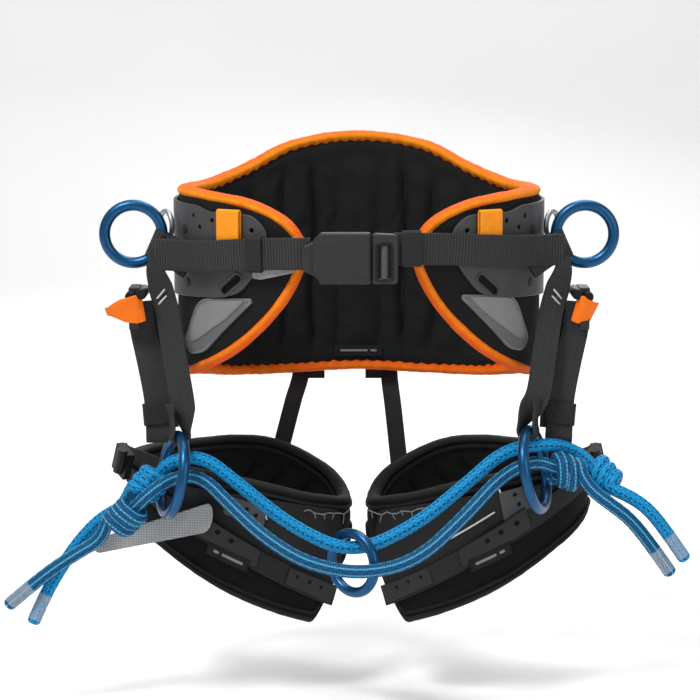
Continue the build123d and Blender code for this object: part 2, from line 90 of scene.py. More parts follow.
BELT = (0.1907, 0.1332)                   # the middle of the webbing
WEB = 0.0026
BELT_LINE = {"r": [(0.051, 0.0050), (0.105, 0.0018), (0.150, -0.0028)],
             "l": [(0.051, 0.0095), (0.105, 0.0060), (0.150, 0.0020)]}
BELT_FRONT_Y = (-0.1363, -0.1315)         # where the belt goes into the buckle
BELT_TAB = [(0.057, -0.0060), (0.097, -0.0090), (0.0975, -0.0195), (0.090, -0.0205), (0.060, -0.0135)]
BELT_W = 0.0288
BELT_KEEPER = (0.0865, 0.1015)
SIDE_HOLD = (0.1846, -0.040, 0.0031)      # the side ring's bar, where the webbing holds it
SIDE_LEAN = radians(24)

RISER = [(0.1862, -0.0545, -0.005), (0.1878, -0.0590, -0.016), (0.1825, -0.0615, -0.034),
         (0.1765, -0.0665, -0.055), (0.1700, -0.0790, -0.090), (0.1620, -0.0950, -0.130)]
ADJUSTER = [(0.2015, -0.064, -0.046), (0.1990, -0.064, -0.071), (0.1920, -0.070, -0.102),
            (0.1855, -0.0785, -0.134), (0.1835, -0.0845, -0.161), (0.1832, -0.0866, -0.169)]
RISER_W, ADJUSTER_W = 0.0225, 0.0245
RISER_KEEPER = (0.1845, -0.0815, -0.1475)
BAR_TACKS = [((0.1860, -0.0435), (0.1785, -0.0345)), ((0.1845, -0.0485), (0.1770, -0.0405))]
TAB = [(0, -0.0802, -0.0500), (0.09, -0.0835, -0.0505), (0.34, -0.0855, -0.0515), (0.67, -0.0830, -0.0525),
       (1, -0.0760, -0.0540)]
TAB_REACH = {"r": 0.0335, "l": 0.0170}
TAB_TIP = {"r": 0.30, "l": 0.70}          # the share of its width left at its end
KNOBS = [(0.1985, -0.0370), (0.2085, -0.0395)]
BRIDGE_TOP = {"r": (-0.16347, -0.10488, -0.16466), "l": (0.15347, -0.10488, -0.15966)}
BRIDGE_ALONG = (0.30902, -0.95106, 0)     # the bridge ring's bar at its top, on the right side

LEG = (0.106, 0.078, 0.114)               # half axes of the leg pad's outside, and its middle
LEG_PAD = 0.013
LEG_RIM = [(0.190, -0.198), (0.147, -0.203), (0.093, -0.213), (0.036, -0.230)]
LEG_RIM_BACK = [(0.028, -0.219), (0.082, -0.198), (0.117, -0.195), (0.166, -0.197)]
LEG_RIM_ENDS = (-0.1975, -0.2385)         # heights of the rim at the outer and the inner side
LEG_HEM = [(0.009, -0.289), (0.0225, -0.315), (0.0400, -0.3475), (0.0440, -0.3505), (0.0490, -0.3490),
           (0.083, -0.336), (0.129, -0.315), (0.196, -0.274)]
LEG_HEM_BACK = [(0.060, -0.287), (0.150, -0.276)]
LEG_HEM_ENDS = (-0.2545, -0.280)
CRAZE_LINE = [(0.0, -0.2535), (0.020, -0.2505), (0.095, -0.2300)]
LEG_SEAMS = [0.031, 0.057, 0.085, 0.116, 0.150]
LEG_PANEL = [(0.195, -0.212), (0.095, -0.226), (0.020, -0.247), (0.016, -0.290), (0.031, -0.329),
             (0.195, -0.233)]
LEG_STRAP = [(0.2205, -0.209), (0.160, -0.2465), (0.090, -0.2885), (0.0265, -0.3275)]
LEG_STRAP_W = 0.0195
LEG_PLATE = [(0.152, -0.236), (0.157, -0.255), (0.097, -0.292), (0.092, -0.276)]
LEG_PLATE_HOLES = [(0.144, -0.250), (0.130, -0.258), (0.118, -0.266)]
LEG_LABEL = [(0.1405, -0.2780), (0.1050, -0.2960), (0.1012, -0.2850), (0.1378, -0.2672)]
INNER_PLATE = [(0.066, -0.2935), (0.071, -0.3085), (0.032, -0.3330), (0.026, -0.3180)]
INNER_HOLES = [(0.0600, -0.3030), (0.0490, -0.3095), (0.0390, -0.3160)]
LEG_BAND = [(0.184, -0.2040), (0.200, -0.2000), (0.2150, -0.1990), (0.2196, -0.1990)]
UPPER_PLATE = {"r": [(0.122, -0.224), (0.086, -0.236), (0.089, -0.255), (0.126, -0.241)],
               "l": [(0.128, -0.222), (0.152, -0.216), (0.160, -0.236), (0.134, -0.251)]}
UPPER_HOLES = {"r": [(0.115, -0.232), (0.104, -0.237), (0.096, -0.243)],
               "l": [(0.143, -0.224), (0.147, -0.233)]}
LEG_TICKS = {"r": [((0.0880, -0.2415), (0.0860, -0.2475))],
             "l": [((0.1270, -0.2150), (0.1315, -0.2250)), ((0.1250, -0.2400), (0.0475, -0.2895))]}
REAR_STRAP = {"r": ((-0.058, -0.142), (-0.076, -0.206), 0.078),
              "l": ((0.031, -0.142), (0.040, -0.222), 0.066)}
WAIST_BACK_Y = 0.1276

# ---- the ropes' routes, from the wearer's right to the left ----
ROPE = 0.012
UPPER = [(-0.184, -0.104, -0.201), (-0.170, -0.106, -0.186), (-0.141, -0.111, -0.182),
         (-0.112, -0.114, -0.205), (-0.060, -0.122, -0.246), (-0.006, -0.132, -0.268),
         (0.050, -0.124, -0.244), (0.098, -0.114, -0.206), (0.132, -0.109, -0.176), (0.170, -0.103, -0.172),
         (0.191, -0.088, -0.178), (0.206, -0.087, -0.187), (0.217, -0.095, -0.198)]
LOWER = [(-0.206, -0.121, -0.230), (-0.186, -0.131, -0.209), (-0.166, -0.114, -0.200),
         (-0.142, -0.115, -0.200), (-0.116, -0.128, -0.224), (-0.086, -0.145, -0.249),
         (-0.046, -0.160, -0.271), (0.004, -0.164, -0.279), (0.052, -0.158, -0.268), (0.095, -0.136, -0.232),
         (0.128, -0.117, -0.199), (0.158, -0.109, -0.186), (0.180, -0.107, -0.194)]
TAILS = {
    "upper_r": [(-0.217, -0.090, -0.233), (-0.238, -0.089, -0.244), (-0.258, -0.092, -0.265),
                (-0.278, -0.098, -0.294), (-0.291, -0.103, -0.318), (-0.300, -0.105, -0.339)],
    "lower_r": [(-0.236, -0.107, -0.260), (-0.258, -0.110, -0.272), (-0.290, -0.113, -0.293),
                (-0.322, -0.112, -0.321)],
    "lower_l": [(0.211, -0.119, -0.212), (0.227, -0.127, -0.223), (0.245, -0.123, -0.237),
                (0.265, -0.116, -0.262), (0.285, -0.111, -0.291)],
    "upper_l": [(0.248, -0.117, -0.219), (0.264, -0.117, -0.231), (0.281, -0.113, -0.253),
                (0.298, -0.110, -0.278)],
}
SLEEVE_LENGTH, SLEEVE_ROOM, SLEEVE_T = 0.030, 0.0004, 0.0003
SLEEVE_SIDES = 28
KNOT_LENGTH = 0.026
KNOT_CORE = 0.8                           # the share of its length that the middle rope runs on into
KNOT_TURNS = 2.8
KNOT_WRAP = 0.0106                        # radius of the wraps' own centreline
TURN_POINTS = 12

# ---- camera, light and floor ----
CAMERA_PLACE = (-0.00846, -2.17859, 0.20609)
CAMERA_TILT = radians(82)
CAMERA_LENS = 119.1
LIGHTS = [("key", (-1.2, -1.4, 2.2), 0.8, 64), ("fill", (1.7, -1.7, 0.7), 1.2, 12),
          ("top", (0.2, 0.5, 2.0), 1.2, 26), ("back", (0.6, 2.2, 1.2), 1.6, 18)]
FLOOR_Z = -0.42


def make_stage():
    """The camera, a pale floor that curves up behind, and soft studio light."""
    camera = bpy.data.objects.new("camera", bpy.data.cameras.new("camera"))
    camera.location = CAMERA_PLACE
    camera.rotation_euler = (CAMERA_TILT, 0, 0)
    camera.data.sensor_width = 36
    camera.data.lens = CAMERA_LENS
    scene.collection.objects.link(camera)
    scene.camera = camera
    scene.view_settings.view_transform = "Standard"

    world = bpy.data.worlds.new("studio")
    scene.world = world
    world.use_nodes = True
    world.node_tree.nodes["Background"].inputs["Color"].default_value = (1, 1, 1, 1)
    world.node_tree.nodes["Background"].inputs["Strength"].default_value = 0.46
    for name, place, size, power in LIGHTS:
        light = bpy.data.lights.new(name, "AREA")
        light.size = size
        light.energy = power
        lamp = bpy.data.objects.new(name, light)
        lamp.location = place
        lamp.rotation_euler = (Vector((0, 0, -0.1)) - Vector(place)).to_track_quat("-Z", "Y").to_euler()
        scene.collection.objects.link(lamp)

    depth = [(-6, 0), (2.0, 0), (2.6, 0.1), (3.0, 0.5), (3.1, 1.1), (3.1, 4)]
    sweep = np.array([[(x, y, FLOOR_Z + z) for y, z in depth] for x in (-6, 6)], float)
    floor = surface("studio_floor", sweep, sweep[:, :, :2])
    floor.data.materials.append(floor_paint())


# ---- meshes ----
def mesh_piece(name, mesh, sharp=40):
    """A shown object with that mesh, its faces turned outward and its shallow edges smoothed."""
    work = bmesh.new()
    work.from_mesh(mesh)
    bmesh.ops.remove_doubles(work, verts=work.verts, dist=1e-5)
    bmesh.ops.dissolve_degenerate(work, edges=work.edges, dist=1e-6)
    bmesh.ops.recalc_face_normals(work, faces=work.faces)
    work.to_mesh(mesh)
    work.free()
    mesh.polygons.foreach_set("use_smooth", [True] * len(mesh.polygons))
    mesh.set_sharp_from_angle(angle=radians(sharp))
    piece = bpy.data.objects.new(name, mesh)
    scene.collection.objects.link(piece)
    return piece


def surface(name, points, uv, wrap_u=False, wrap_v=False, caps=False, sharp=40):
    """A piece made of quads over points[u][v]. A wrapped direction closes on itself, and caps close the
    two ends of a tube whose v is wrapped. The coordinates have one more row for a wrapped direction."""
    rows, columns = points.shape[:2]
    u = np.arange(rows if wrap_u else rows - 1)[:, None, None] + np.array([0, 1, 1, 0])
    v = np.arange(columns if wrap_v else columns - 1)[None, :, None] + np.array([0, 0, 1, 1])
    u, v = np.broadcast_arrays(u, v)
    faces = ((u % rows) * columns + v % columns).reshape(-1, 4).tolist()
    corners = uv[u, v].reshape(-1, 2)
    if caps:
        faces.append(list(range(columns))[::-1])
        faces.append([(rows - 1) * columns + column for column in range(columns)])
        corners = np.vstack([corners, uv[0, :columns][::-1], uv[-1, :columns]])
    mesh = bpy.data.meshes.new(name)
    mesh.from_pydata(points.reshape(-1, 3).tolist(), [], faces)
    mesh.uv_layers.new(name="UVMap").data.foreach_set("uv", corners.astype(np.float32).ravel())
    return mesh_piece(name, mesh, sharp)


def grid_uv(u, v):
    """Texture coordinates over a grid, from values along its rows and its columns."""
    return np.stack(np.broadcast_arrays(u, v), axis=-1)


def curve_mesh(name, curve):
    """The mesh that a curve makes; the curve's own object is not kept."""
    holder = bpy.data.objects.new(name, curve)
    mesh = bpy.data.meshes.new_from_object(holder)
    bpy.data.objects.remove(holder)
    return mesh


def finish(piece, material, body=None, replaces=()):
    """Gives a piece its material, its body and the nodes that it stands for."""
    piece.data.materials.clear()
    piece.data.materials.append(material)
    if body:
        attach(piece, body)
    if replaces:
        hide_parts(*replaces)
    return piece


def through(points, closed=False, detail=24):
    """A smooth curve through points, with the same number of steps from each to the next."""
    points = np.array(points, float)
    if closed:
        points = np.vstack([points[-1:], points, points[:2]])
    else:
        points = np.vstack([2 * points[0] - points[1], points, 2 * points[-1] - points[-2]])
    share = np.linspace(0, 1, detail, endpoint=False)[:, None]
    line = []
    for before, start, end, after in zip(points, points[1:], points[2:], points[3:]):
        t0, t1, t2 = (np.linalg.norm(b - a) ** 0.5 for a, b in ((before, start), (start, end), (end, after)))
        leave = end - start + t1 * ((start - before) / t0 - (end - before) / (t0 + t1))
        arrive = end - start + t1 * ((after - end) / t2 - (after - start) / (t1 + t2))
        line.append((2 * share**3 - 3 * share**2 + 1) * start + (share**3 - 2 * share**2 + share) * leave
                    + (3 * share**2 - 2 * share**3) * end + (share**3 - share**2) * arrive)
    if not closed:
        line.append(points[-2:-1])
    return np.vstack(line)


def evenly(line, count=None, step=None, closed=False):
    """The line again, with its points the same distance apart."""
    line = np.array(line, float)
    if closed:
        line = np.vstack([line, line[:1]])
    run = np.concatenate([[0], np.cumsum(np.linalg.norm(np.diff(line, axis=0), axis=1))])
    count = count or max(3, round(run[-1] / step))
    at = np.linspace(0, run[-1], count, endpoint=not closed)
    return np.stack([np.interp(at, run, column) for column in line.T], axis=1)


def unit(vectors):
    return vectors / np.maximum(np.linalg.norm(vectors, axis=-1, keepdims=True), 1e-12)


def tangents(line, closed=False):
    if closed:
        return unit(np.roll(line, -1, axis=0) - np.roll(line, 1, axis=0))
    return unit(np.gradient(line, axis=0))


def runs(line):
    return np.concatenate([[0], np.cumsum(np.linalg.norm(np.diff(line, axis=0), axis=1))])


def soft_step(x):
    x = np.clip(x, 0, 1)
    return x * x * (3 - 2 * x)


def ripple(x, seed):
    """A gentle uneven wave between -1 and 1, the same each time."""
    phases = np.random.default_rng(seed).uniform(0, 2 * pi, 4)
    return sum(np.sin(x * rate + phase) for rate, phase in zip((1, 1.63, 2.31, 0.57), phases)) / 4


class Wall:
    """An upright oval wall, or its mirror image on the wearer's right."""

    def __init__(self, a, b, middle=0.0, side=1):
        self.a, self.b, self.middle, self.side = a, b, middle, side
        self.angle = np.linspace(-pi, pi, 2881)
        steps = np.hypot(a * np.diff(np.sin(self.angle)), b * np.diff(np.cos(self.angle)))
        self.run = np.concatenate([[0], np.cumsum(steps)])
        self.round = self.run[-1]
        self.run -= self.round / 2

    def ahead(self, x):
        """The run to the front point that is x from the middle of the object."""
        share = max(-1.0, min(1.0, (x - self.middle) / self.a))
        return float(np.interp(asin(share), self.angle, self.run))

    def behind(self, x):
        return self.round / 2 - self.ahead(x) if x >= self.middle else -self.round / 2 - self.ahead(x)

    def place(self, run, z, depth=0.0):
        run = (np.asarray(run, float) + self.round / 2) % self.round - self.round / 2
        angle = np.interp(run, self.run, self.angle)
        out = unit(np.stack([np.sin(angle) / self.a, -np.cos(angle) / self.b, 0 * angle], axis=-1))
        x, y = self.middle + self.a * np.sin(angle), -self.b * np.cos(angle)
        point = np.stack([x, y, z + 0 * angle], axis=-1)
        point = point + out * np.asarray(depth + 0 * angle)[..., None]
        return point * (self.side, 1, 1)


class Board:
    """A flat upright face, placed like a wall: run goes along it, and depth out of it."""

    def __init__(self, origin, along, out):
        self.origin, self.along, self.out = (np.array(v, float) for v in (origin, along, out))
        self.along, self.out = unit(self.along), unit(self.out)
        self.up = np.cross(self.out, self.along)
        if self.up[2] < 0:
            self.up = -self.up

    def place(self, run, z, depth=0.0):
        run, z = np.asarray(run, float), np.asarray(z, float)
        depth = np.asarray(depth + 0 * run)
        flat = self.origin + run[..., None] * self.along + z[..., None] * self.up
        return flat + depth[..., None] * self.out


def rounded(points, radius, steps=6):
    """A closed outline with each corner rounded; radius is one number, or one for each corner."""
    radii = radius if isinstance(radius, (list, tuple)) else [radius] * len(points)
    points = np.array(points, float)
    outline = []
    for index, corner in enumerate(points):
        before, after = points[index - 1] - corner, points[(index + 1) % len(points)] - corner
        reach = min(radii[index], 0.45 * np.linalg.norm(before), 0.45 * np.linalg.norm(after))
        start, end = corner + unit(before) * reach, corner + unit(after) * reach
        for share in np.linspace(0, 1, steps):
            outline.append((1 - share) ** 2 * start + 2 * share * (1 - share) * corner + share**2 * end)
    return np.array(outline)


def circle(x, z, radius, count=20):
    angle = np.linspace(0, 2 * pi, count, endpoint=False)
    return np.stack([x + radius * np.cos(angle), z + radius * np.sin(angle)], axis=1)


def slot_outline(x, z, length, width, turn):
    """A round-ended slot; turn is in degrees."""
    half = length / 2 - width / 2
    angle = np.linspace(-pi / 2, pi / 2, 9)
    end = np.stack([half + width / 2 * np.cos(angle), width / 2 * np.sin(angle)], axis=1)
    shape = np.vstack([end, -end])
    c, s = cos(radians(turn)), sin(radians(turn))
    return shape @ np.array([[c, s], [-s, c]]) + (x, z)


def moulded(name, wall, outline, thickness, bevel=0.0006, holes=(), base=0.0, step=0.004, dome=0.0):
    """A sheet cut to an outline of (run, height), with rounded edges and holes, bent onto a wall. Its
    inner face is at depth base; dome raises its middle, less and less toward its edge."""
    data = bpy.data.curves.new(name, "CURVE")
    data.dimensions = "2D"
    data.fill_mode = "BOTH"
    data.extrude = thickness / 2 - bevel
    data.bevel_depth = bevel
    data.offset = -bevel
    data.bevel_resolution = 2
    for points in [outline, *holes]:
        spline = data.splines.new("POLY")
        spline.points.add(len(points) - 1)
        spline.points.foreach_set("co", np.hstack([points, np.tile([0, 1], (len(points), 1))]).ravel())
        spline.use_cyclic_u = True
    mesh = curve_mesh(name, data)
    work = bmesh.new()
    work.from_mesh(mesh)
    bmesh.ops.remove_doubles(work, verts=work.verts, dist=1e-5)
    low, high = np.min(outline, axis=0), np.max(outline, axis=0)
    for axis in (0, 1):
        normal = (1, 0, 0) if axis == 0 else (0, 1, 0)
        for cut in np.arange(low[axis] + step / 2, high[axis], step):
            everything = [*work.verts, *work.edges, *work.faces]
            bmesh.ops.bisect_plane(work, geom=everything, plane_co=[cut * n for n in normal], plane_no=normal)
    work.to_mesh(mesh)
    work.free()
    flat = np.array([v.co for v in mesh.vertices])
    depth = base + thickness / 2 + flat[:, 2]
    if dome:
        inside = edge_distance(flat[:, :2], evenly(outline, step=0.002, closed=True))
        depth += dome * soft_step(inside / 0.012) * (flat[:, 2] > 0)
    loops = np.zeros(len(mesh.loops), int)
    mesh.loops.foreach_get("vertex_index", loops)
    for layer in list(mesh.uv_layers):
        mesh.uv_layers.remove(layer)
    mesh.uv_layers.new(name="UVMap").data.foreach_set("uv", flat[loops, :2].astype(np.float32).ravel())
    mesh.vertices.foreach_set("co", wall.place(flat[:, 0], flat[:, 1], depth).astype(np.float32).ravel())
    mesh.update()
    return mesh_piece(name, mesh, 35)


def inward(outline):
    """The flat direction into a closed outline, at each of its points."""
    along = tangents(outline, closed=True)
    turned = np.stack([along[:, 1], -along[:, 0]], axis=1)
    if (turned * (outline.mean(axis=0) - outline)).sum() < 0:
        return -turned
    return turned


def shrink(outline, by):
    """The outline again, moved inward."""
    return outline + inward(outline) * by


def edge_distance(points, edge):
    """How far each flat point is from the nearest point of an edge."""
    best = np.full(len(points), np.inf)
    for start in range(0, len(edge), 64):
        gap = np.linalg.norm(points[:, None] - edge[None, start:start + 64], axis=2)
        best = np.minimum(best, gap.min(axis=1))
    return best


def strap(name, line, across, width, thickness, closed=False, step=0.002, flutter=0.0, seed=1, widths=None):
    """A woven strap along a line, with rounded edges. across is the way its width points: one vector, or a
    list of (run, vector). widths is a list of (run, share) where it narrows, and flutter makes it wavy."""
    dense = evenly(line, step=step, closed=closed)
    run = runs(np.vstack([dense, dense[:1]]) if closed else dense)
    if isinstance(across, list):
        places = [place for place, _ in across]
        across = np.stack([np.interp(run[:len(dense)], places, part)
                           for part in np.array([vector for _, vector in across]).T], axis=1)
    along = tangents(dense, closed)
    across = unit(across - along * (along * across).sum(axis=1, keepdims=True))
    out = np.cross(along, across)
    half, thick = width / 2, thickness / 2
    edge = [(1, 0), (0.985, 0.6), (0.95, 0.95), (0.85, 1.0), (0.5, 0.97), (0.17, 0.96)]
    top = [(-x, y) for x, y in edge] + edge[::-1]
    profile = np.array(top + [(x, -y) for x, y in edge[1:]] + [(-x, -y) for x, y in edge[:0:-1]])
    profile = profile * (half, thick)
    share = np.interp(run[:len(dense)], *zip(*widths)) if widths else np.ones(len(dense))
    wave = flutter * ripple(run[:len(dense)] * 140, seed)[:, None] * np.cos(profile[:, 0] / half * 2.2)[None]
    points = (dense[:, None] + across[:, None] * (profile[None, :, :1] * share[:, None, None])
              + out[:, None] * (profile[None, :, 1:] + wave[..., None]))
    over = np.append(profile[:, 0], profile[0, 0])
    uv = grid_uv(run[:, None], over[None])
    return surface(name, points, uv, wrap_u=closed, wrap_v=True, caps=not closed)


def tube(line, size, sides, closed=False, flat=1.0):
    """Rings of points round a line. size is the radius at each of its points, or at each ring's points."""
    across, out = parallel_frames(tangents(line, closed))
    angle = np.linspace(0, 2 * pi, sides, endpoint=False)
    ring = across[:, None] * np.cos(angle)[None, :, None] + out[:, None] * np.sin(angle)[None, :, None] * flat
    return line[:, None] + ring * np.reshape(size, (len(line), -1, 1))


def rod(name, line, radius, sides=16, closed=False, step=0.002, flat=1.0):
    """A round bar along a line, with slightly rounded ends."""
    dense = evenly(line, step=step, closed=closed)
    size = np.full(len(dense), radius)
    if not closed:
        run = runs(dense)
        end = np.minimum(run, run[-1] - run) / (0.5 * radius)
        size = radius * np.sqrt(1 - 0.35 * (1 - np.clip(end, 0, 1)) ** 2)
    points = tube(dense, size, sides, closed, flat)
    run = runs(np.vstack([dense, dense[:1]]) if closed else dense)
    uv = grid_uv(np.linspace(0, 1, sides + 1)[None], run[:, None])
    return surface(name, points, uv, wrap_u=closed, wrap_v=True, caps=not closed)


def parallel_frames(along):
    """Two directions square to a line at each of its points, turning as little as they can."""
    start = np.array([0.0, 0.0, 1.0]) if abs(along[0, 2]) < 0.9 else np.array([1.0, 0.0, 0.0])
    across = [unit(start - along[0] * (start @ along[0]))]
    for direction in along[1:]:
        across.append(unit(across[-1] - direction * (across[-1] @ direction)))
    across = np.array(across)
    return across, np.cross(along, across)


# ---- procedural materials ----
SOCKETS = {"rough": "Roughness", "metal": "Metallic", "sheen": "Sheen Weight", "coat": "Coat Weight",
           "coat_rough": "Coat Roughness", "alpha": "Alpha", "specular": "Specular IOR Level"}


class Nodes:
    """The node tree of one new material, and the patterns that it is made from."""

    def __init__(self, name, **values):
        self.material = bpy.data.materials.new(name)
        self.material.use_nodes = True
        self.tree = self.material.node_tree
        self.shader = self.tree.nodes["Principled BSDF"]
        for key, value in values.items():
            self.shader.inputs[SOCKETS[key]].default_value = value

    def feed(self, socket, value):
        if isinstance(value, bpy.types.NodeSocket):
            self.tree.links.new(value, socket)
        elif socket.type == "RGBA" and len(value) == 3:
            socket.default_value = (*value, 1)
        else:
            socket.default_value = value

    def math(self, operation, *values):
        node = self.tree.nodes.new("ShaderNodeMath")
        node.operation = operation
        for socket, value in zip(node.inputs, values):
            self.feed(socket, value)
        return node.outputs[0]

    def times(self, first, second):
        return self.math("MULTIPLY", first, second)

    def plus(self, first, second):
        return self.math("ADD", first, second)

    def minus(self, first, second):
        return self.math("SUBTRACT", first, second)

    def absolute(self, value):
        return self.math("ABSOLUTE", value)

    def axes(self, kind):
        """The three coordinates: kind is UV, or Object for places in the frame."""
        source = self.tree.nodes.new("ShaderNodeTexCoord")
        split = self.tree.nodes.new("ShaderNodeSeparateXYZ")
        self.feed(split.inputs[0], source.outputs[kind])
        return split.outputs

    def noise(self, kind, scale, detail=3.0):
        source = self.tree.nodes.new("ShaderNodeTexCoord")
        node = self.tree.nodes.new("ShaderNodeTexNoise")
        node.inputs["Scale"].default_value = scale
        node.inputs["Detail"].default_value = detail
        self.feed(node.inputs["Vector"], source.outputs[kind])
        return node.outputs[0]

    def ribs(self, value, pitch):
        """Round ribs, one for each pitch: 0 between them and 1 on top."""
        return self.absolute(self.math("SINE", self.times(value, pi / pitch)))

    def above(self, value, limit, soft=0.1):
        """0 below the limit, 1 above it, over a short ramp."""
        node = self.tree.nodes.new("ShaderNodeMapRange")
        self.feed(node.inputs["Value"], value)
        node.inputs["From Min"].default_value = limit - soft
        node.inputs["From Max"].default_value = limit + soft
        return node.outputs[0]

    def mix(self, share, low, high):
        node = self.tree.nodes.new("ShaderNodeMix")
        node.data_type = "RGBA"
        self.feed(node.inputs[0], share)
        self.feed(node.inputs[6], low)
        self.feed(node.inputs[7], high)
        return node.outputs[2]

    def colour(self, value):
        self.feed(self.shader.inputs["Base Color"], value)

    def rough(self, share, low, high):
        node = self.tree.nodes.new("ShaderNodeMapRange")
        self.feed(node.inputs["Value"], share)
        node.inputs["To Min"].default_value = low
        node.inputs["To Max"].default_value = high
        self.feed(self.shader.inputs["Roughness"], node.outputs[0])

    def relief(self, height, distance):
        node = self.tree.nodes.new("ShaderNodeBump")
        node.inputs["Distance"].default_value = distance
        self.feed(node.inputs["Height"], height)
        self.feed(self.shader.inputs["Normal"], node.outputs[0])


def shade(colour, share):
    return tuple(min(1.0, channel * share) for channel in colour)


def floor_paint():
    n = Nodes("floor_paint", rough=0.85, specular=0.2)
    n.colour(n.mix(n.noise("Object", 6), (0.90, 0.90, 0.90), (0.93, 0.93, 0.93)))
    return n.material


def webbing(name, colour, rib=0.0030, lift=0.0006, lean=0.15):
    """Flat woven strap: cross ribs with a herringbone slant, and fine yarns along it. Its colour is painted
    much darker between the ribs as shade and lighter on their crests as highlight, patchy at random.
    """
    n = Nodes(name, specular=0.22)
    u, v, _ = n.axes("UV")
    slant = n.times(n.math("PINGPONG", v, 0.0037), lean)
    ribs = n.ribs(n.plus(u, slant), rib)
    yarns = n.ribs(v, 0.0012)
    height = n.plus(n.times(ribs, 0.7), n.times(yarns, 0.3))
    # painted shade and highlight: the rib height, made patchy at random, darkens the hollows and lightens the
    # crests
    patchy_rib_shade = n.times(height, n.plus(n.noise("UV", 900, 2), 0.5))
    n.colour(n.mix(patchy_rib_shade, shade(colour, 0.2), shade(colour, 2.2)))
    n.rough(n.noise("UV", 300), 0.5, 0.75)
    n.relief(height, lift)
    return n.material


def fabric(name, colour, pitch=0.0011, lift=0.0002, wrinkle=0.0):
    """Plain weave with a fine uneven surface. Its colour is mottled at random, and painted darker in the
    weave's hollows and lighter on its crests as shade and highlight.
    """
    n = Nodes(name, specular=0.08)
    u, v, _ = n.axes("UV")
    height = n.times(n.ribs(u, pitch), n.ribs(v, pitch))
    # painted shade in the weave's hollows and highlight on its crests, with random mottling
    mottle_and_weave_shade = n.times(height, n.plus(n.noise("UV", 160, 4), 0.5))
    n.colour(n.mix(mottle_and_weave_shade, shade(colour, 0.6), shade(colour, 1.5)))
    n.rough(n.noise("UV", 60), 0.7, 0.9)
    if wrinkle:
        height = n.plus(height, n.times(n.noise("UV", 40, 5), wrinkle))
    n.relief(height, lift)
    return n.material


def spacer_mesh(name, colour):
    """Breathable lining: small round holes in rows, in a soft knit. The holes are painted darker as shade and
    the crests between them lighter, with random tone in the knit.
    """
    n = Nodes(name, specular=0.06)
    u, v, _ = n.axes("UV")
    holes = n.times(n.ribs(u, 0.0026), n.ribs(n.plus(v, n.times(u, 0.5)), 0.0022))
    # painted shade in the holes and lighter crests, plus random tone
    knit = n.plus(holes, n.times(n.noise("UV", 700, 2), 0.3))
    n.colour(n.mix(knit, shade(colour, 0.65), shade(colour, 1.3)))
    n.rough(n.noise("UV", 50), 0.75, 0.92)
    n.relief(knit, 0.0002)
    return n.material


def binding(name, colour, shadow_colour):
    """Folded edge tape: fine cross ribs and uneven colour. Painted shade deepens the orange downward and on
    the roll's two flanks, and the upper part is painted lighter as if lit from above.
    """
    n = Nodes(name, specular=0.12)
    u, v, _ = n.axes("UV")
    _, _, height_up = n.axes("Object")
    ribs = n.ribs(v, 0.0011)
    slanted = n.ribs(n.plus(v, n.times(u, 0.012)), 0.0031)
    height = n.plus(n.times(ribs, 0.35), n.times(slanted, 0.65))
    # uneven colour at random, painted a little lighter on the rib crests as highlight
    dye_and_rib_shade = n.times(n.noise("UV", 90, 3), n.plus(n.times(height, 0.4), 0.75))
    # painted light: the upper colour is the lit orange, and the lower one is the same orange in painted shade
    upper = n.mix(dye_and_rib_shade, shade(colour, 0.60), shade(colour, 1.3))
    lower = n.mix(dye_and_rib_shade, shade(shadow_colour, 0.60), shade(shadow_colour, 1.3))
    # painted shade on the roll's two flanks, in a deeper red-orange
    turn = n.times(u, 2 * pi / PIPING_ROUND)
    flank_shade = n.above(n.absolute(n.math("COSINE", turn)), 0.45, 0.5)
    painted_shade_tone = n.mix(n.above(height_up, -0.03, 0.11), lower, upper)
    n.colour(n.mix(n.times(flank_shade, 0.75), painted_shade_tone, (0.70, 0.055, 0.002)))
    n.rough(ribs, 0.5, 0.75)
    n.relief(height, 0.00035)
    return n.material


def tape(name, colour):
    """Flat tape with fine ribs both ways. Its colour is painted darker between the ribs as shade and lighter
    on them, and uneven at random.
    """
    n = Nodes(name, specular=0.15)
    u, v, _ = n.axes("UV")
    height = n.plus(n.times(n.ribs(u, 0.0012), 0.6), n.times(n.ribs(v, 0.0009), 0.4))
    # painted shade between the ribs and highlight on them, with random tone
    n.colour(n.mix(n.times(height, n.plus(n.noise("UV", 120), 0.4)),
                   shade(colour, 0.7), shade(colour, 1.25)))
    n.rough(height, 0.5, 0.7)
    n.relief(height, 0.0003)
    return n.material


def plastic(name, colour, rough=0.42, shine=0.3):
    """Moulded plastic: a fine spark texture, with faint scuffs in its gloss."""
    n = Nodes(name, specular=shine)
    grains = n.noise("Object", 1600, 2)
    scuffs = n.noise("Object", 70, 5)
    n.colour(n.mix(scuffs, shade(colour, 0.85), shade(colour, 1.2)))
    n.rough(scuffs, rough - 0.08, rough + 0.12)
    n.relief(grains, 0.00006)
    return n.material


def cover_skin(name, colour):
    """Cover with a pressed basket pattern. Its hollows are painted darker as shade and its raised cells
    lighter as highlight, with random tone.
    """
    n = Nodes(name, specular=0.25)
    u, v, _ = n.axes("UV")
    height = n.times(n.ribs(n.plus(u, v), 0.0019), n.ribs(n.minus(u, v), 0.0019))
    # painted shade in the pattern's hollows and highlight on its raised cells, with random tone
    n.colour(n.mix(n.times(height, n.plus(n.noise("UV", 90), 0.5)),
                   shade(colour, 0.55), shade(colour, 1.6)))
    n.rough(height, 0.62, 0.45)
    n.relief(height, 0.0003)
    return n.material


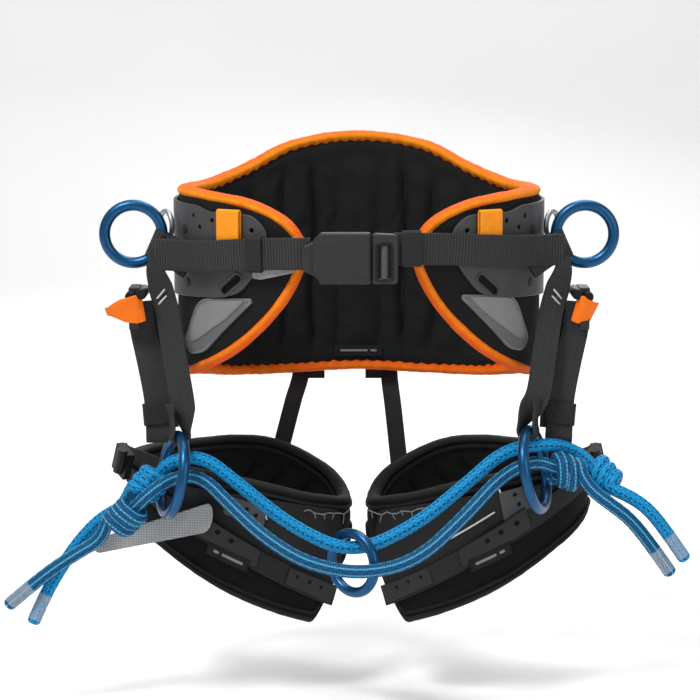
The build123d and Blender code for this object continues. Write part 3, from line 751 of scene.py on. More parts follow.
def anodised(name, colour, rough=0.3):
    """Dyed alloy: satin metal with faint turning marks and small scuffs."""
    n = Nodes(name, metal=0.85, coat=0.25, coat_rough=0.2)
    cloud = n.noise("Object", 45, 4)
    fine = n.noise("Object", 900, 2)
    n.colour(n.mix(cloud, shade(colour, 0.8), shade(colour, 1.25)))
    n.rough(n.plus(n.times(fine, 0.5), n.times(cloud, 0.5)), rough, rough + 0.18)
    n.relief(fine, 0.00003)
    return n.material


def steel(name, colour, rough=0.3):
    n = Nodes(name, metal=1.0)
    scratches = n.noise("Object", 500, 4)
    n.colour(n.mix(n.noise("Object", 60), shade(colour, 0.75), shade(colour, 1.1)))
    n.rough(scratches, rough, rough + 0.25)
    n.relief(scratches, 0.00003)
    return n.material


ROPE_STRANDS = 10
ROPE_CELL = 0.0088                        # length of one strand's crossing along the rope


def braid(n, u, v):
    """Over-and-under height of a braid."""
    first = n.plus(n.times(u, ROPE_STRANDS), n.math("DIVIDE", v, ROPE_CELL))
    second = n.minus(n.times(u, ROPE_STRANDS), n.math("DIVIDE", v, ROPE_CELL))
    top = n.math("MODULO", n.absolute(n.plus(n.math("FLOOR", first), n.math("FLOOR", second))), 2)
    across_a = n.math("SINE", n.times(n.math("FRACT", first), pi))
    across_b = n.math("SINE", n.times(n.math("FRACT", second), pi))
    return n.plus(n.times(across_a, top), n.times(across_b, n.minus(1, top)))


def dotted(n, u, v, rows, width, pitch, fill):
    """Rows of dots along a rope: each row's dots lie between the next row's."""
    round_u = n.times(u, rows)
    near = n.math("LESS_THAN", n.absolute(n.minus(n.math("FRACT", round_u), 0.5)), width)
    shift = n.times(n.math("FLOOR", round_u), pitch / 2)
    return n.times(near, n.above(n.ribs(n.plus(v, shift), pitch), fill, 0.1))


def braided(name, colour, mark, rows, width, pitch, fill):
    """Braided rope cover with rows of marker yarns that show as dots. The strands are painted darker where
    they dip under each other and lighter on their crests, as shade and highlight.
    """
    n = Nodes(name, specular=0.2)
    u, v, _ = n.axes("UV")
    height = braid(n, u, v)
    fibres = n.ribs(n.plus(u, n.times(v, 12)), 0.012)
    # painted shade and highlight from the braid's over-and-under height and the fibres' lines
    painted_shade_tone = n.times(n.plus(n.times(height, 0.75), 0.25),
                  n.plus(n.times(fibres, 0.3), 0.7))
    plain = n.mix(painted_shade_tone, shade(colour, 0.35), shade(colour, 1.1))
    n.colour(n.mix(dotted(n, u, v, rows, width, pitch, fill), plain, mark))
    n.rough(height, 0.75, 0.5)
    n.relief(height, 0.0004)
    return n.material


def perforated(name, colour):
    """Open woven tag: rows of small holes between grey yarns. The holes are painted dark as shade, and the
    yarns' grey varies at random.
    """
    n = Nodes(name, sheen=0.1, specular=0.4)
    u, v, _ = n.axes("UV")
    grid = n.times(n.ribs(u, 0.0024), n.ribs(v, 0.0024))
    holes = n.above(grid, 0.66, 0.16)
    cloud = n.noise("UV", 45, 4)
    # painted shade: the holes are darkened, and the yarns' grey varies at random
    n.colour(n.mix(holes, n.mix(cloud, shade(colour, 0.7), shade(colour, 1.35)), shade(colour, 0.42)))
    n.rough(holes, 0.45, 0.8)
    n.relief(grid, -0.0005)
    return n.material


def panel_weave(name, colour):
    """The dark, coarser weave of the leg loops' front panels. Its colour is painted darker in the weave's
    hollows and lighter on its crests, and mottled at random.
    """
    n = Nodes(name, specular=0.12)
    u, v, _ = n.axes("UV")
    weave = n.times(n.ribs(u, 0.0013), n.ribs(v, 0.0013))
    mottle_and_weave_shade = n.times(weave, n.plus(n.noise("UV", 120), 0.5))
    # painted shade in the weave's hollows and highlight on its crests, with random mottling
    n.colour(n.mix(mottle_and_weave_shade, shade(colour, 0.55), shade(colour, 1.6)))
    n.rough(weave, 0.8, 0.6)
    n.relief(weave, 0.00022)
    return n.material


def thread(name, colour):
    n = Nodes(name, sheen=0.2, specular=0.4)
    u, v, _ = n.axes("UV")
    twist = n.ribs(n.plus(u, v), 0.0008)
    # painted shade in the twist's grooves, lighter on its crests
    n.colour(n.mix(twist, shade(colour, 0.6), colour))
    n.rough(twist, 0.7, 0.5)
    n.relief(twist, 0.0001)
    return n.material


def clear_sleeve(name):
    """Shrunk clear tube over a rope's end. Its pale streaked colour is a painted highlight on the clear
    plastic.
    """
    n = Nodes(name, alpha=0.27, coat=0.6, coat_rough=0.08, specular=0.6)
    highlight_streaks = n.noise("UV", 25, 3)
    # painted highlight: pale grey streaks stand in for light on the clear plastic
    n.colour(n.mix(highlight_streaks, (0.34, 0.40, 0.46), (0.60, 0.65, 0.70)))
    n.rough(highlight_streaks, 0.12, 0.3)
    n.relief(highlight_streaks, 0.0002)
    return n.material


def make_materials():
    """One material for each look, by the name that the pieces ask for."""
    return {
        "shell": fabric("shell_fabric", (0.012, 0.012, 0.0125), wrinkle=0.5),
        "lining": spacer_mesh("pad_lining", (0.0135, 0.0135, 0.0140)),
        # the second colour is the same orange in painted shade, used low on the pad's edge
        "binding": binding("binding_orange", (0.98, 0.29, 0.010), (0.94, 0.165, 0.006)),
        "tape": tape("tape_orange", (0.94, 0.27, 0.012)),
        # the release tab is the tape's orange in painted shade, deeper and redder
        "tab": tape("tab_orange_painted_shade", (0.92, 0.165, 0.008)),
        "plate": plastic("plate_plastic", (0.043, 0.044, 0.046), 0.44),
        "patch": plastic("patch_plastic", (0.175, 0.178, 0.182), 0.5),
        "patch_dark": plastic("patch_band", (0.10, 0.102, 0.105), 0.5),
        "rivet": steel("rivet_metal", (0.07, 0.07, 0.075), 0.45),
        "blue": anodised("ring_blue", (0.0035, 0.070, 0.18)),
        "steel": steel("hanger_metal", (0.40, 0.41, 0.42), 0.34),
        "webbing": webbing("webbing_black", (0.0165, 0.0165, 0.017)),
        "webbing_twill": webbing("webbing_twill", (0.0155, 0.0155, 0.016), 0.0026, 0.0006, 0.9),
        "webbing_dark": webbing("webbing_dark", (0.0095, 0.0095, 0.010), 0.0019),
        "buckle": plastic("buckle_plastic", (0.021, 0.021, 0.022), 0.45),
        "cover": cover_skin("buckle_cover", (0.021, 0.021, 0.0222)),
        "bar": plastic("bar_metal", (0.009, 0.009, 0.0095), 0.36, 0.2),
        "knob": plastic("knob_gloss", (0.006, 0.006, 0.0065), 0.38, 0.18),
        "plate_dark": plastic("plate_dark", (0.015, 0.015, 0.016), 0.48, 0.25),
        "leg": fabric("leg_fabric", (0.0075, 0.0075, 0.008), 0.0012, 0.00022, 0.6),
        "leg_edge": tape("leg_binding", (0.012, 0.012, 0.0125)),
        "panel": panel_weave("leg_shell_fabric", (0.017, 0.017, 0.018)),
        "tag": perforated("tag_woven", (0.33, 0.335, 0.345)),
        "rope_upper": braided("rope_bright", (0.002, 0.265, 0.58), (0.002, 0.030, 0.10),
                              rows=6, width=0.11, pitch=0.0048, fill=0.60),
        "rope_lower": braided("rope_dark", (0.003, 0.074, 0.195), (0.065, 0.37, 0.54),
                              rows=6, width=0.12, pitch=0.0026, fill=0.35),
        "thread": thread("thread_white", (0.62, 0.62, 0.62)),
        "thread_dark": thread("thread_grey", (0.07, 0.07, 0.072)),
        "sleeve": clear_sleeve("clear_sleeve"),
        "grey": fabric("grey_cloth", (0.27, 0.27, 0.275)),
        "label": fabric("label_cloth", (0.016, 0.016, 0.017), 0.0006, 0.0001),
        "label_mark": thread("label_mark", (0.21, 0.21, 0.215)),
    }


# ---- ropes ----
def nurbs_line(name, route):
    """The points of a smooth curve that has the route's points as its control points."""
    data = bpy.data.curves.new(name, "CURVE")
    data.dimensions = "3D"
    data.resolution_u = 12
    spline = data.splines.new("NURBS")
    spline.points.add(len(route) - 1)
    spline.points.foreach_set("co", [x for point in route for x in (*point, 1)])
    spline.order_u = 3
    spline.use_endpoint_u = True
    mesh = curve_mesh(name, data)
    line = np.array([v.co for v in mesh.vertices])
    bpy.data.meshes.remove(mesh)
    return line


def rope_piece(name, line, material, replaces):
    """A braided rope: a tube along the line with its strands raised."""
    sides = 32
    dense = evenly(line, step=0.0014)
    run = runs(dense)
    angle = np.linspace(0, 2 * pi, sides, endpoint=False)
    first = angle[None] * ROPE_STRANDS / (2 * pi) + run[:, None] / ROPE_CELL
    second = angle[None] * ROPE_STRANDS / (2 * pi) - run[:, None] / ROPE_CELL
    on_top = (np.floor(first) + np.floor(second)) % 2
    height = np.where(on_top == 1, np.sin(pi * (first % 1)), np.sin(pi * (second % 1)))
    size = ROPE / 2 - 0.0002 + 0.0004 * height
    end = np.clip(np.minimum(run, run[-1] - run) / (ROPE / 4), 0, 1)
    size = size * np.sqrt(1 - 0.5 * (1 - end[:, None]) ** 2)
    points = tube(dense, size, sides)
    uv = grid_uv(np.linspace(0, 1, sides + 1)[None], run[:, None])
    piece = surface(name, points, uv, wrap_v=True, caps=True, sharp=80)
    finish(piece, material, "harness", replaces)
    return piece, dense


def knot_wraps(start, axis, turns, seed):
    """Control points of a stopper knot's wraps, from beside the ring outward round the axis."""
    across, out = (v[0] for v in parallel_frames(np.array([axis])))
    points = []
    for index in range(round(turns * TURN_POINTS)):
        angle = seed + 2 * pi * index / TURN_POINTS
        share = index / (turns * TURN_POINTS)
        radius = KNOT_WRAP * (1 + 0.05 * sin(5 * angle + seed))
        lean = 0.0028 * cos(angle - seed)
        place = start + axis * ((KNOT_LENGTH - 0.001) * share - 0.003 + lean)
        points.append(tuple(place + radius * (across * cos(angle) + out * sin(angle))))
    return points


def make_ropes(paint):
    """Two hanging ropes, and a tail at each end that wraps the rope in a stopper knot and hangs free."""
    for name, route, look, slot in (("upper", UPPER, "rope_upper", "rope_bright"),
                                    ("lower", LOWER, "rope_lower", "rope_dark")):
        ends = {"r": np.array(route[:2]), "l": np.array(route[:-3:-1])}
        core = {side: tuple(end + unit(end - before) * KNOT_LENGTH * KNOT_CORE)
                for side, (end, before) in ends.items()}
        line = nurbs_line(f"rope_{name}_route", [core["r"], *route, core["l"]])
        rope, path = rope_piece(f"rope_{name}_braid", line, paint[look], [f"rope_{name}"])
        for side, (end, before) in ends.items():
            axis = unit(end - before)
            wraps = knot_wraps(end, axis, KNOT_TURNS, 1.3 if side == "r" else 2.9)
            key = f"{name}_{side}"
            line = nurbs_line(f"tail_{key}_route", wraps + TAILS[key])
            tail, path = rope_piece(f"tail_{key}_braid", line, paint[look],
                                    [f"knot_{key}", f"tail_{key}"])
            sleeve = rope_sleeve(key, path, paint)


def rope_sleeve(key, path, paint):
    """A clear sleeve over the rope's last stretch."""
    run = runs(path)
    line = path[run > run[-1] - SLEEVE_LENGTH][:-3]
    dense = evenly(line, step=0.002)
    size = ROPE / 2 + SLEEVE_ROOM + 0.00012 * ripple(np.arange(len(dense)) * 1.1, 4)
    points = np.vstack([tube(dense, size, SLEEVE_SIDES), tube(dense, size - SLEEVE_T, SLEEVE_SIDES)[::-1]])
    uv = grid_uv(np.linspace(0, 1, SLEEVE_SIDES + 1)[None], np.linspace(0, 1, len(points) + 1)[:, None])
    sleeve = surface(f"tail_{key}_sleeve", points, uv, wrap_u=True, wrap_v=True)
    return finish(sleeve, paint["sleeve"], "harness")


# ---- waist pad ----
def pad_edge():
    """The waist pad's edge as (run, height), from the top of its back over the left lobe, along the bottom
    and back over the right one. Its runs go on past the back's middle instead of changing sign there."""
    wall = Wall(*WAIST)
    half = [(wall.behind(x), z) for x, z in TOP_BACK] + [(wall.ahead(WAIST[0]), SIDE_TOP)]
    half += [(wall.ahead(x), z) for x, z in LOBE] + [(wall.ahead(WAIST[0]), SIDE_LOW)]
    half += [(wall.behind(x), z) for x, z in HEM_BACK]
    other = [(wall.round - run, z) for run, z in half[-2:0:-1]]
    return wall, through(half + other, closed=True, detail=16)


def edge_heights(edge):
    """Bottom and top of the pad as functions of the run, and its two tips' runs."""
    left, right = int(edge[:, 0].argmin()), int(edge[:, 0].argmax())
    low = edge[left:right + 1]
    high = np.vstack([edge[right:], edge[:left + 1]])[::-1]
    return low, high, edge[left, 0], edge[right, 0]


def pad_grid(edge, columns, rows):
    low, high, first, last = edge_heights(edge)
    share = np.linspace(-1, 1, columns)
    spread = 0.72 * share + 0.28 * np.sin(share * pi / 2)
    run = (first + last) / 2 + spread * ((last - first) / 2 - 0.0012)
    bottom, top = np.interp(run, *low.T), np.interp(run, *high.T)
    up = np.linspace(0, 1, rows)
    z = bottom[:, None] + (top - bottom)[:, None] * up[None]
    return np.repeat(run[:, None], rows, axis=1), z


def closed_pad(name, wall, run, z, front, back):
    """A closed pad over a grid of places: front and back are the depths of its two faces."""
    face = wall.place(run, z, front)
    rear = wall.place(run, z, back)[:, ::-1]
    points = np.concatenate([face, rear], axis=1)
    over = np.concatenate([z, 2 * z[:, -1:] - z[:, ::-1], 2 * z[:, -1:] - z[:, :1]], axis=1)
    uv = grid_uv(run[:, :1], over)
    return surface(name, points, uv, wrap_v=True, caps=True)


def swell(name, wall, run, z, depth, pinned, most):
    """The depths of a pad's face after air pressure has swollen the cloth between its pinned seams."""
    rows, columns = run.shape
    points = wall.place(run, z, depth)
    count = np.arange(rows * columns).reshape(rows, columns)
    faces = np.stack([count[:-1, :-1], count[1:, :-1], count[1:, 1:], count[:-1, 1:]], axis=-1).reshape(-1, 4)
    mesh = bpy.data.meshes.new(name)
    mesh.from_pydata(points.reshape(-1, 3).tolist(), [], faces.tolist())
    cloth_piece = bpy.data.objects.new(name, mesh)
    scene.collection.objects.link(cloth_piece)
    group = cloth_piece.vertex_groups.new(name="seams")
    group.add(np.flatnonzero(pinned.ravel()).tolist(), 1.0, "REPLACE")
    cloth = cloth_piece.modifiers.new("cloth", "CLOTH")
    cloth.settings.vertex_group_mass = "seams"
    cloth.settings.use_pressure = True
    cloth.settings.uniform_pressure_force = PRESSURE
    cloth.settings.shrink_min = -0.02
    cloth.settings.effector_weights.gravity = 0
    cloth.settings.tension_stiffness = 12
    cloth.settings.bending_stiffness = 0.6
    cloth.point_cache.frame_start, cloth.point_cache.frame_end = 1, 20
    for number in range(1, 21):
        scene.frame_set(number)
    shown = cloth_piece.evaluated_get(bpy.context.evaluated_depsgraph_get())
    swollen = np.array([v.co for v in shown.data.vertices]).reshape(points.shape)
    scene.frame_set(1)
    bpy.data.objects.remove(cloth_piece)
    bpy.data.meshes.remove(mesh)
    outward = unit(wall.place(run, z, depth + 0.001) - points)
    moved = ((swollen - points) * outward).sum(axis=2)
    return depth + np.clip(moved, -most, most)


def make_waist_pad(paint):
    """The pad's swollen lining and its outer cloth, and what is sewn to them."""
    wall, edge = pad_edge()
    border = evenly(edge, step=0.003, closed=True)
    run, z = pad_grid(edge, 340, 44)
    inside = edge_distance(np.stack([run, z], axis=-1).reshape(-1, 2), border).reshape(run.shape)
    back = wall.round / 2
    fade = soft_step((inside - 0.012) / 0.03)
    lining = -PAD + 0.0015 + 0.0035 * (1 - soft_step(inside / 0.016))
    grooves, nearest = np.zeros(run.shape), np.full(run.shape, 1.0)
    pinned = inside < 0.007
    for x, deep in LINING_SEAMS:
        reach = back - wall.behind(x)
        for seam in (back - reach, back + reach):
            bend = seam + 0.0018 * np.sin(z * 45 + x * 90)
            away = np.abs(run - bend)
            grooves = np.maximum(grooves, deep * np.exp(-(away / 0.0034) ** 2) * fade)
            nearest = np.minimum(nearest, away)
            pinned |= (away < 0.0016) & (inside > 0.02)
    crown = 0.0032 * (1 - np.exp(-(nearest / 0.008) ** 2)) * fade
    lining = lining + grooves - crown + 0.0005 * ripple(run * 90 + 3 * np.sin(z * 40), 5) * fade
    lining = swell("waist_lining_cloth", wall, run, z, lining, pinned, 0.003)
    behind = np.minimum(lining + 0.006, -PAD / 2 + 0.0005)
    piece = closed_pad("waist_lining_pad", wall, run, z, lining, behind)
    finish(piece, paint["lining"], "harness", ["waist_lining", "waist_foam"])

    crown = 0.0008 * soft_step((inside - 0.008) / 0.02) - 0.003 * (1 - soft_step(inside / 0.012))
    outer = crown + 0.0004 * ripple(run * 60 + 4 * np.sin(z * 30), 8)
    piece = closed_pad("waist_shell_pad", wall, run, z, outer, -PAD / 2 - 0.0005 + 0 * outer)
    finish(piece, paint["shell"], "harness", ["waist_shell"])
    make_back_band(wall, paint)
    make_piping(wall, edge, paint)
    make_waist_label(paint)


def make_back_band(wall, paint):
    """The wide webbing across the back between the side plates, with its sewn edges."""
    end_x, layers = BACK_BAND
    run = np.linspace(wall.behind(end_x), wall.round - wall.behind(end_x), 60)
    for index, (width, lift) in enumerate(layers):
        path = wall.place(run, 0, lift)
        piece = strap(f"back_band_{index}", path, (0, 0, 1), width, 0.0022, flutter=0.0002, seed=33 + index)
        finish(piece, paint["webbing"], "harness")
    for index, x in enumerate(BACK_TACKS):
        for name, side in SIDES.items():
            across = wall.round / 2 + side * (wall.round / 2 - wall.behind(x))
            tack = wall.place(np.full(6, across), np.linspace(-0.019, 0.019, 6), 0.0056)
            piece = rod(f"back_band_tack_{index}_{name}", tack, 0.0008, 8)
            finish(piece, paint["thread_dark"], "harness")


def make_piping(wall, edge, paint):
    """The rolled edge: scalloped where it binds the back, smooth round the lobes."""
    line = evenly(edge, step=0.0016, closed=True)
    run = runs(np.vstack([line, line[:1]]))
    back = soft_step((0.30 - np.abs(line[:, 0] - wall.round / 2)) / 0.05)
    scallop = 0.5 - 0.5 * np.cos(2 * pi * run[:-1] / SCALLOP + 1.6 * ripple(run[:-1] * 30, 12))
    wave = ripple(run[:-1] * 95, 3)
    sides = 24
    angle = np.linspace(0, 2 * pi, sides, endpoint=False)
    toward = np.clip(np.cos(angle), 0, 1)[None]
    tight = 0.0046 + 0.0004 * wave
    size_in = tight[:, None] + toward * (0.0008 + 0.0021 * (back * scallop)[:, None])
    pucker = 0.00022 * back[:, None] * (scallop[:, None] - 0.5) + 0.00016 * ripple(run[:-1] * 700, 9)[:, None]
    off = 0.0030 + (size_in + pucker) * np.cos(angle)[None]
    depth = -PAD / 2 + (0.0080 + pucker) * np.sin(angle)[None] + 0.0002 * wave[:, None]
    place = line[:, None] + inward(line)[:, None] * off[..., None]
    points = wall.place(place[..., 0], place[..., 1], depth)
    uv = grid_uv(np.linspace(0, PIPING_ROUND, sides + 1)[None], run[:, None])
    piece = surface("waist_piping", points, uv, wrap_u=True, wrap_v=True, sharp=70)
    finish(piece, paint["binding"], "harness", ["waist_binding"])


def make_waist_label(paint):
    """A small plain woven label on the lining, by the bottom of the back."""
    inner = Wall(WAIST[0] - PAD, WAIST[1] - PAD)
    outline = rounded([(-0.024, -0.121), (0.024, -0.121), (0.024, -0.110), (-0.024, -0.110)], 0.001)
    outline[:, 0] += inner.round / 2
    piece = moulded("waist_label", inner, outline, 0.0007, 0.0002, base=-0.0009)
    finish(piece, paint["label"], "harness")
    for index, (left, right) in enumerate([(-0.018, -0.012), (-0.009, 0.018)]):
        bar = rounded([(left, -0.1165), (right, -0.1165), (right, -0.1145), (left, -0.1145)], 0.0005)
        bar[:, 0] += inner.round / 2
        piece = moulded(f"waist_label_bar_{index}", inner, bar, 0.0003, 0.0001, base=-0.0012)
        finish(piece, paint["label_mark"], "harness")


# ---- side plates, patches and tool loops ----
def side_outline(wall, front, side_ends, back):
    """An outline that starts and ends behind the hip, with its front points given by their x."""
    quarter = wall.ahead(wall.a)
    rear = wall.behind(back[0])
    points = [(rear, back[1]), (quarter, side_ends[0])] + [(wall.ahead(x), z) for x, z in front]
    return points + [(quarter, side_ends[1]), (rear, -back[1])]


def make_side_plate(name, side, paint):
    """The stiff plate on the side of the pad, with its rivets and the rim of its slot."""
    wall = Wall(*PLATE, side=side)
    points = side_outline(wall, PLATE_FRONT, PLATE_SIDE, PLATE_BACK)
    outline = rounded(points, [0.004, 0.03, *PLATE_ROUNDS, 0.03, 0.004])
    holes = [circle(wall.ahead(x), z, PLATE_HOLE_R) for x, z in PLATE_HOLES]
    x, z, length, width, turn = PLATE_SLOT
    holes.append(slot_outline(wall.ahead(x), z, length, width, turn))
    plate = moulded(f"side_plate_{name}_body", wall, outline, PLATE_T, 0.0007, holes, base=-PLATE_T)
    finish(plate, paint["plate"], "harness", [f"side_plate_{name}"])
    for index, (rivet_x, rivet_z) in enumerate(RIVETS):
        head = circle(wall.ahead(rivet_x), rivet_z, 0.0042, 24)
        piece = moulded(f"side_plate_{name}_rivet_{index}", wall, head, 0.0010, 0.0004, dome=0.0003)
        finish(piece, paint["rivet"], "harness", ["plate_rivets"] if name == "r" else ())
    rim = slot_outline(wall.ahead(x), z, length + 0.004, width + 0.004, turn)
    rim = np.column_stack([rim, 0 * rim[:, 0]])
    ring = rod(f"side_plate_{name}_slot_rim", wall.place(rim[:, 0], rim[:, 1], 0.0001), 0.0009, 8, True)
    finish(ring, paint["plate"], "harness")


def make_patch(name, side, paint):
    """A grip patch: a dark bevelled base with a raised lighter face."""
    wall = Wall(*PATCH, side=side)
    out, up = PATCH_SHIFT[name]
    base = rounded([(wall.ahead(x + out), z + up) for x, z in PATCH_FRONT], PATCH_ROUNDS)
    piece = moulded(f"grip_patch_{name}_base", wall, base, PATCH_T - 0.0008, 0.0007, base=-PATCH_T)
    finish(piece, paint["patch_dark"], "harness", [f"grip_patch_{name}"])
    face = [(wall.ahead(x + out), z + up) for x, z in PATCH_FACE]
    outline = rounded(face, [0.012, 0.003, 0.02, 0.006, 0.008])
    piece = moulded(f"grip_patch_{name}_face", wall, outline, 0.0014, 0.0005, base=-0.0012)
    finish(piece, paint["patch"], "harness")
    for index, edge in enumerate([base, outline]):
        inset = shrink(edge, 0.0011)
        place = wall.place(inset[:, 0], inset[:, 1], -0.0008 if index == 0 else 0.0002)
        piece = rod(f"grip_patch_{name}_rim_{index}", place, 0.0007, 8, True)
        finish(piece, paint["patch"], "harness")


def make_tool_loop(name, side, paint):
    """Orange tape, up from under the belt, folded over and down again."""
    wall = Wall(*PLATE, side=side)
    x, middle = TOOL_LOOP
    low, high, front, rear = middle - 0.022, middle + 0.0108, 0.0052, 0.0012
    turn = (front - rear) / 2
    angle = np.linspace(pi, 0, 9)
    height = np.concatenate([[low], high + turn * np.sin(angle), [low + 0.006]])
    depth = np.concatenate([[rear], (front + rear) / 2 + turn * np.cos(angle), [front]])
    line = wall.place(wall.ahead(x) + 0 * height, height, depth)
    across = wall.place(wall.ahead(x) + 0.001, 0.0) - wall.place(wall.ahead(x) - 0.001, 0.0)
    piece = strap(f"tool_loop_{name}_tape", line, across, 0.0245, 0.0016, step=0.0012)
    finish(piece, paint["tape"], "harness", [f"tool_loop_{name}"])


# ---- belt, buckle and keepers ----
def band(name, centre, along, out, width, height, thickness, gap):
    """A keeper: a short band of webbing round a strap. along is the strap's direction there, width the
    band's own width, height the strap's width, and gap the room inside, front to back."""
    along, out = unit(np.array(along, float)), unit(np.array(out, float))
    across = np.cross(along, out)
    half, deep = height / 2 + thickness / 2, gap / 2 + thickness / 2
    loop = rounded([(-half, -deep), (half, -deep), (half, deep), (-half, deep)], deep * 0.98)
    line = np.array(centre) + loop[:, :1] * across + loop[:, 1:] * out
    return strap(name, line, along, width, thickness, closed=True, step=0.0016)


def belt_line(name):
    """The belt's middle, from the buckle round to the fold beside the side ring."""
    side = SIDES[name]
    wall = Wall(*BELT, side=side)
    xs, zs = zip(*BELT_LINE[name])
    at = np.array([0.043 if name == "r" else 0.030, 0.06, 0.08, 0.10, 0.12, 0.14, 0.158])
    z = np.interp(at, xs, zs)
    line = wall.place([wall.ahead(x) for x in at], z)
    line[:2, 1] = BELT_FRONT_Y
    end = [(0.172, -0.0645, z[-1] - 0.0006), (0.1845, -0.0575, z[-1] - 0.0008)]
    return np.vstack([line, np.array(end) * (side, 1, 1)])


def make_belt(name, paint):
    """Half of the belt; the left half stretches from the harness to the sliding half of the buckle."""
    side = SIDES[name]
    line = through(belt_line(name), detail=14)
    fold = line[-1] + np.array([[side * 0.0035, 0.0012, 0], [side * 0.0040, 0.0040, 0], [0, 0.0052, 0],
                                [-side * 0.012, 0.0005, 0]])
    line = np.vstack([line, fold])
    piece = strap(f"belt_{name}_webbing", line, (0, 0, 1), BELT_W, WEB, flutter=0.00025, seed=4)
    body = "harness" if name == "r" else None
    finish(piece, paint["webbing"], body, [f"belt_{name}"])
    if name == "l":
        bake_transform(piece)


def make_keepers(paint):
    """The keepers on the belt and the adjustable straps, and the grey tab under the belt."""
    wall = Wall(*BELT, side=-1)
    middle = wall.ahead((BELT_KEEPER[0] + BELT_KEEPER[1]) / 2)
    height = np.interp(0.0940, *zip(*BELT_LINE["r"]))
    centre = wall.place(middle, height)
    along = wall.place(middle + 0.001, height) - centre
    out = wall.place(middle, height, 0.001) - centre
    piece = band("belt_keeper", centre, along, out, 0.0155, BELT_W + 0.0008, 0.0015, 0.0050)
    finish(piece, paint["webbing_dark"], "harness", ["strap_keepers"])
    piece = band("buckle_keeper", (0.0460, -0.1352, 0.0095), (1, 0.10, 0), (0.10, -1, 0), 0.0175,
                 BELT_W + 0.0006, 0.0015, 0.0042)
    finish(piece, paint["webbing_dark"], "buckle_slide")
    outline = rounded([(wall.ahead(x), z) for x, z in BELT_TAB], 0.002)
    piece = moulded("belt_lining_tab", wall, outline, 0.0014, 0.0004, base=-0.0045)
    finish(piece, paint["grey"], "harness")
    for name, side in SIDES.items():
        x, y, z = RISER_KEEPER
        piece = band(f"adjuster_keeper_{name}", (side * x, y, z), (side * 0.10, 0.22, 1), (0, -1, 0.22),
                     0.0205, ADJUSTER_W + 0.0006, 0.0015, 0.0048)
        finish(piece, paint["webbing_dark"], "harness")


def make_buckle(paint):
    """Housing with its cover, and the frame that slides out of it with its blade and bar."""
    board = Board((0, -0.1305, 0), (1, 0, 0), (0, -1, 0))
    housing = rounded([(-0.0500, 0.0120), (-0.0360, 0.0180), (-0.0355, 0.0240), (0.0098, 0.0240),
                       (0.0098, -0.0215), (-0.0355, -0.0215), (-0.0360, -0.0160), (-0.0500, -0.0100)],
                      [0.002, 0.002, 0.004, 0.002, 0.002, 0.004, 0.002, 0.002])
    piece = moulded("buckle_housing_body", board, housing, 0.0125, 0.0016)
    finish(piece, paint["buckle"], "harness", ["buckle_housing"])
    cover = rounded([(-0.0420, 0.0175), (-0.0345, 0.0235), (0.0092, 0.0232), (0.0092, -0.0208),
                     (-0.0335, -0.0208), (-0.0415, -0.0125)], [0.004, 0.005, 0.003, 0.003, 0.005, 0.004])
    piece = moulded("buckle_cover_skin", board, cover, 0.0030, 0.0011, base=0.0122, step=0.002, dome=0.0007)
    finish(piece, paint["cover"], "harness", ["buckle_cover"])
    window = rounded([(0.0165, 0.0135), (0.0275, 0.0135), (0.0275, -0.0175), (0.0165, -0.0175)], 0.0025)
    outer = rounded([(0.0108, 0.0235), (0.0340, 0.0225), (0.0340, -0.0215), (0.0108, -0.0215)], 0.0040)
    piece = moulded("buckle_frame_body", board, outer, 0.0115, 0.0018, [window])
    finish(piece, paint["buckle"], "buckle_slide", ["buckle_frame"])
    blade = rounded([(-0.0122, 0.0125), (-0.0122, -0.0105), (0.0120, -0.0140), (0.0120, 0.0160)], 0.0015)
    piece = moulded("buckle_blade", board, blade, 0.0040, 0.0006, base=0.0042)
    finish(piece, paint["buckle"], "buckle_slide")
    face = Board((0.0098, -0.1367, 0.001), (0, 1, 0), (1, 0, 0))
    mouth = rounded([(-0.0027, 0.0156), (0.0027, 0.0156), (0.0027, -0.0156), (-0.0027, -0.0156)], 0.0012)
    piece = moulded("buckle_mouth", face, mouth, 0.0003, 0.0001)
    finish(piece, paint["knob"], "harness")
    edge = shrink(window, -0.0016)
    line = board.place(edge[:, 0], edge[:, 1], 0.0114)
    piece = rod("buckle_window_rim", line, 0.0009, 10, True)
    finish(piece, paint["bar"], "buckle_slide")
    height = np.linspace(-0.0168, 0.0128, 60)
    line = board.place(0.0222 + 0 * height, height, 0.0072)
    piece = ribbed_bar("buckle_bar_ribbed", line, 0.0034)
    finish(piece, paint["thread_dark"], "buckle_slide", ["buckle_bar"])


def ribbed_bar(name, line, radius, pitch=0.0022):
    """A bar with round ribs along it."""
    sides = 20
    dense = evenly(line, step=0.0004)
    size = radius - 0.0004 * np.abs(np.sin(runs(dense) * pi / pitch))
    uv = grid_uv(np.linspace(0, 0.02, sides + 1)[None], runs(dense)[:, None])
    return surface(name, tube(dense, size, sides), uv, wrap_v=True, caps=True)


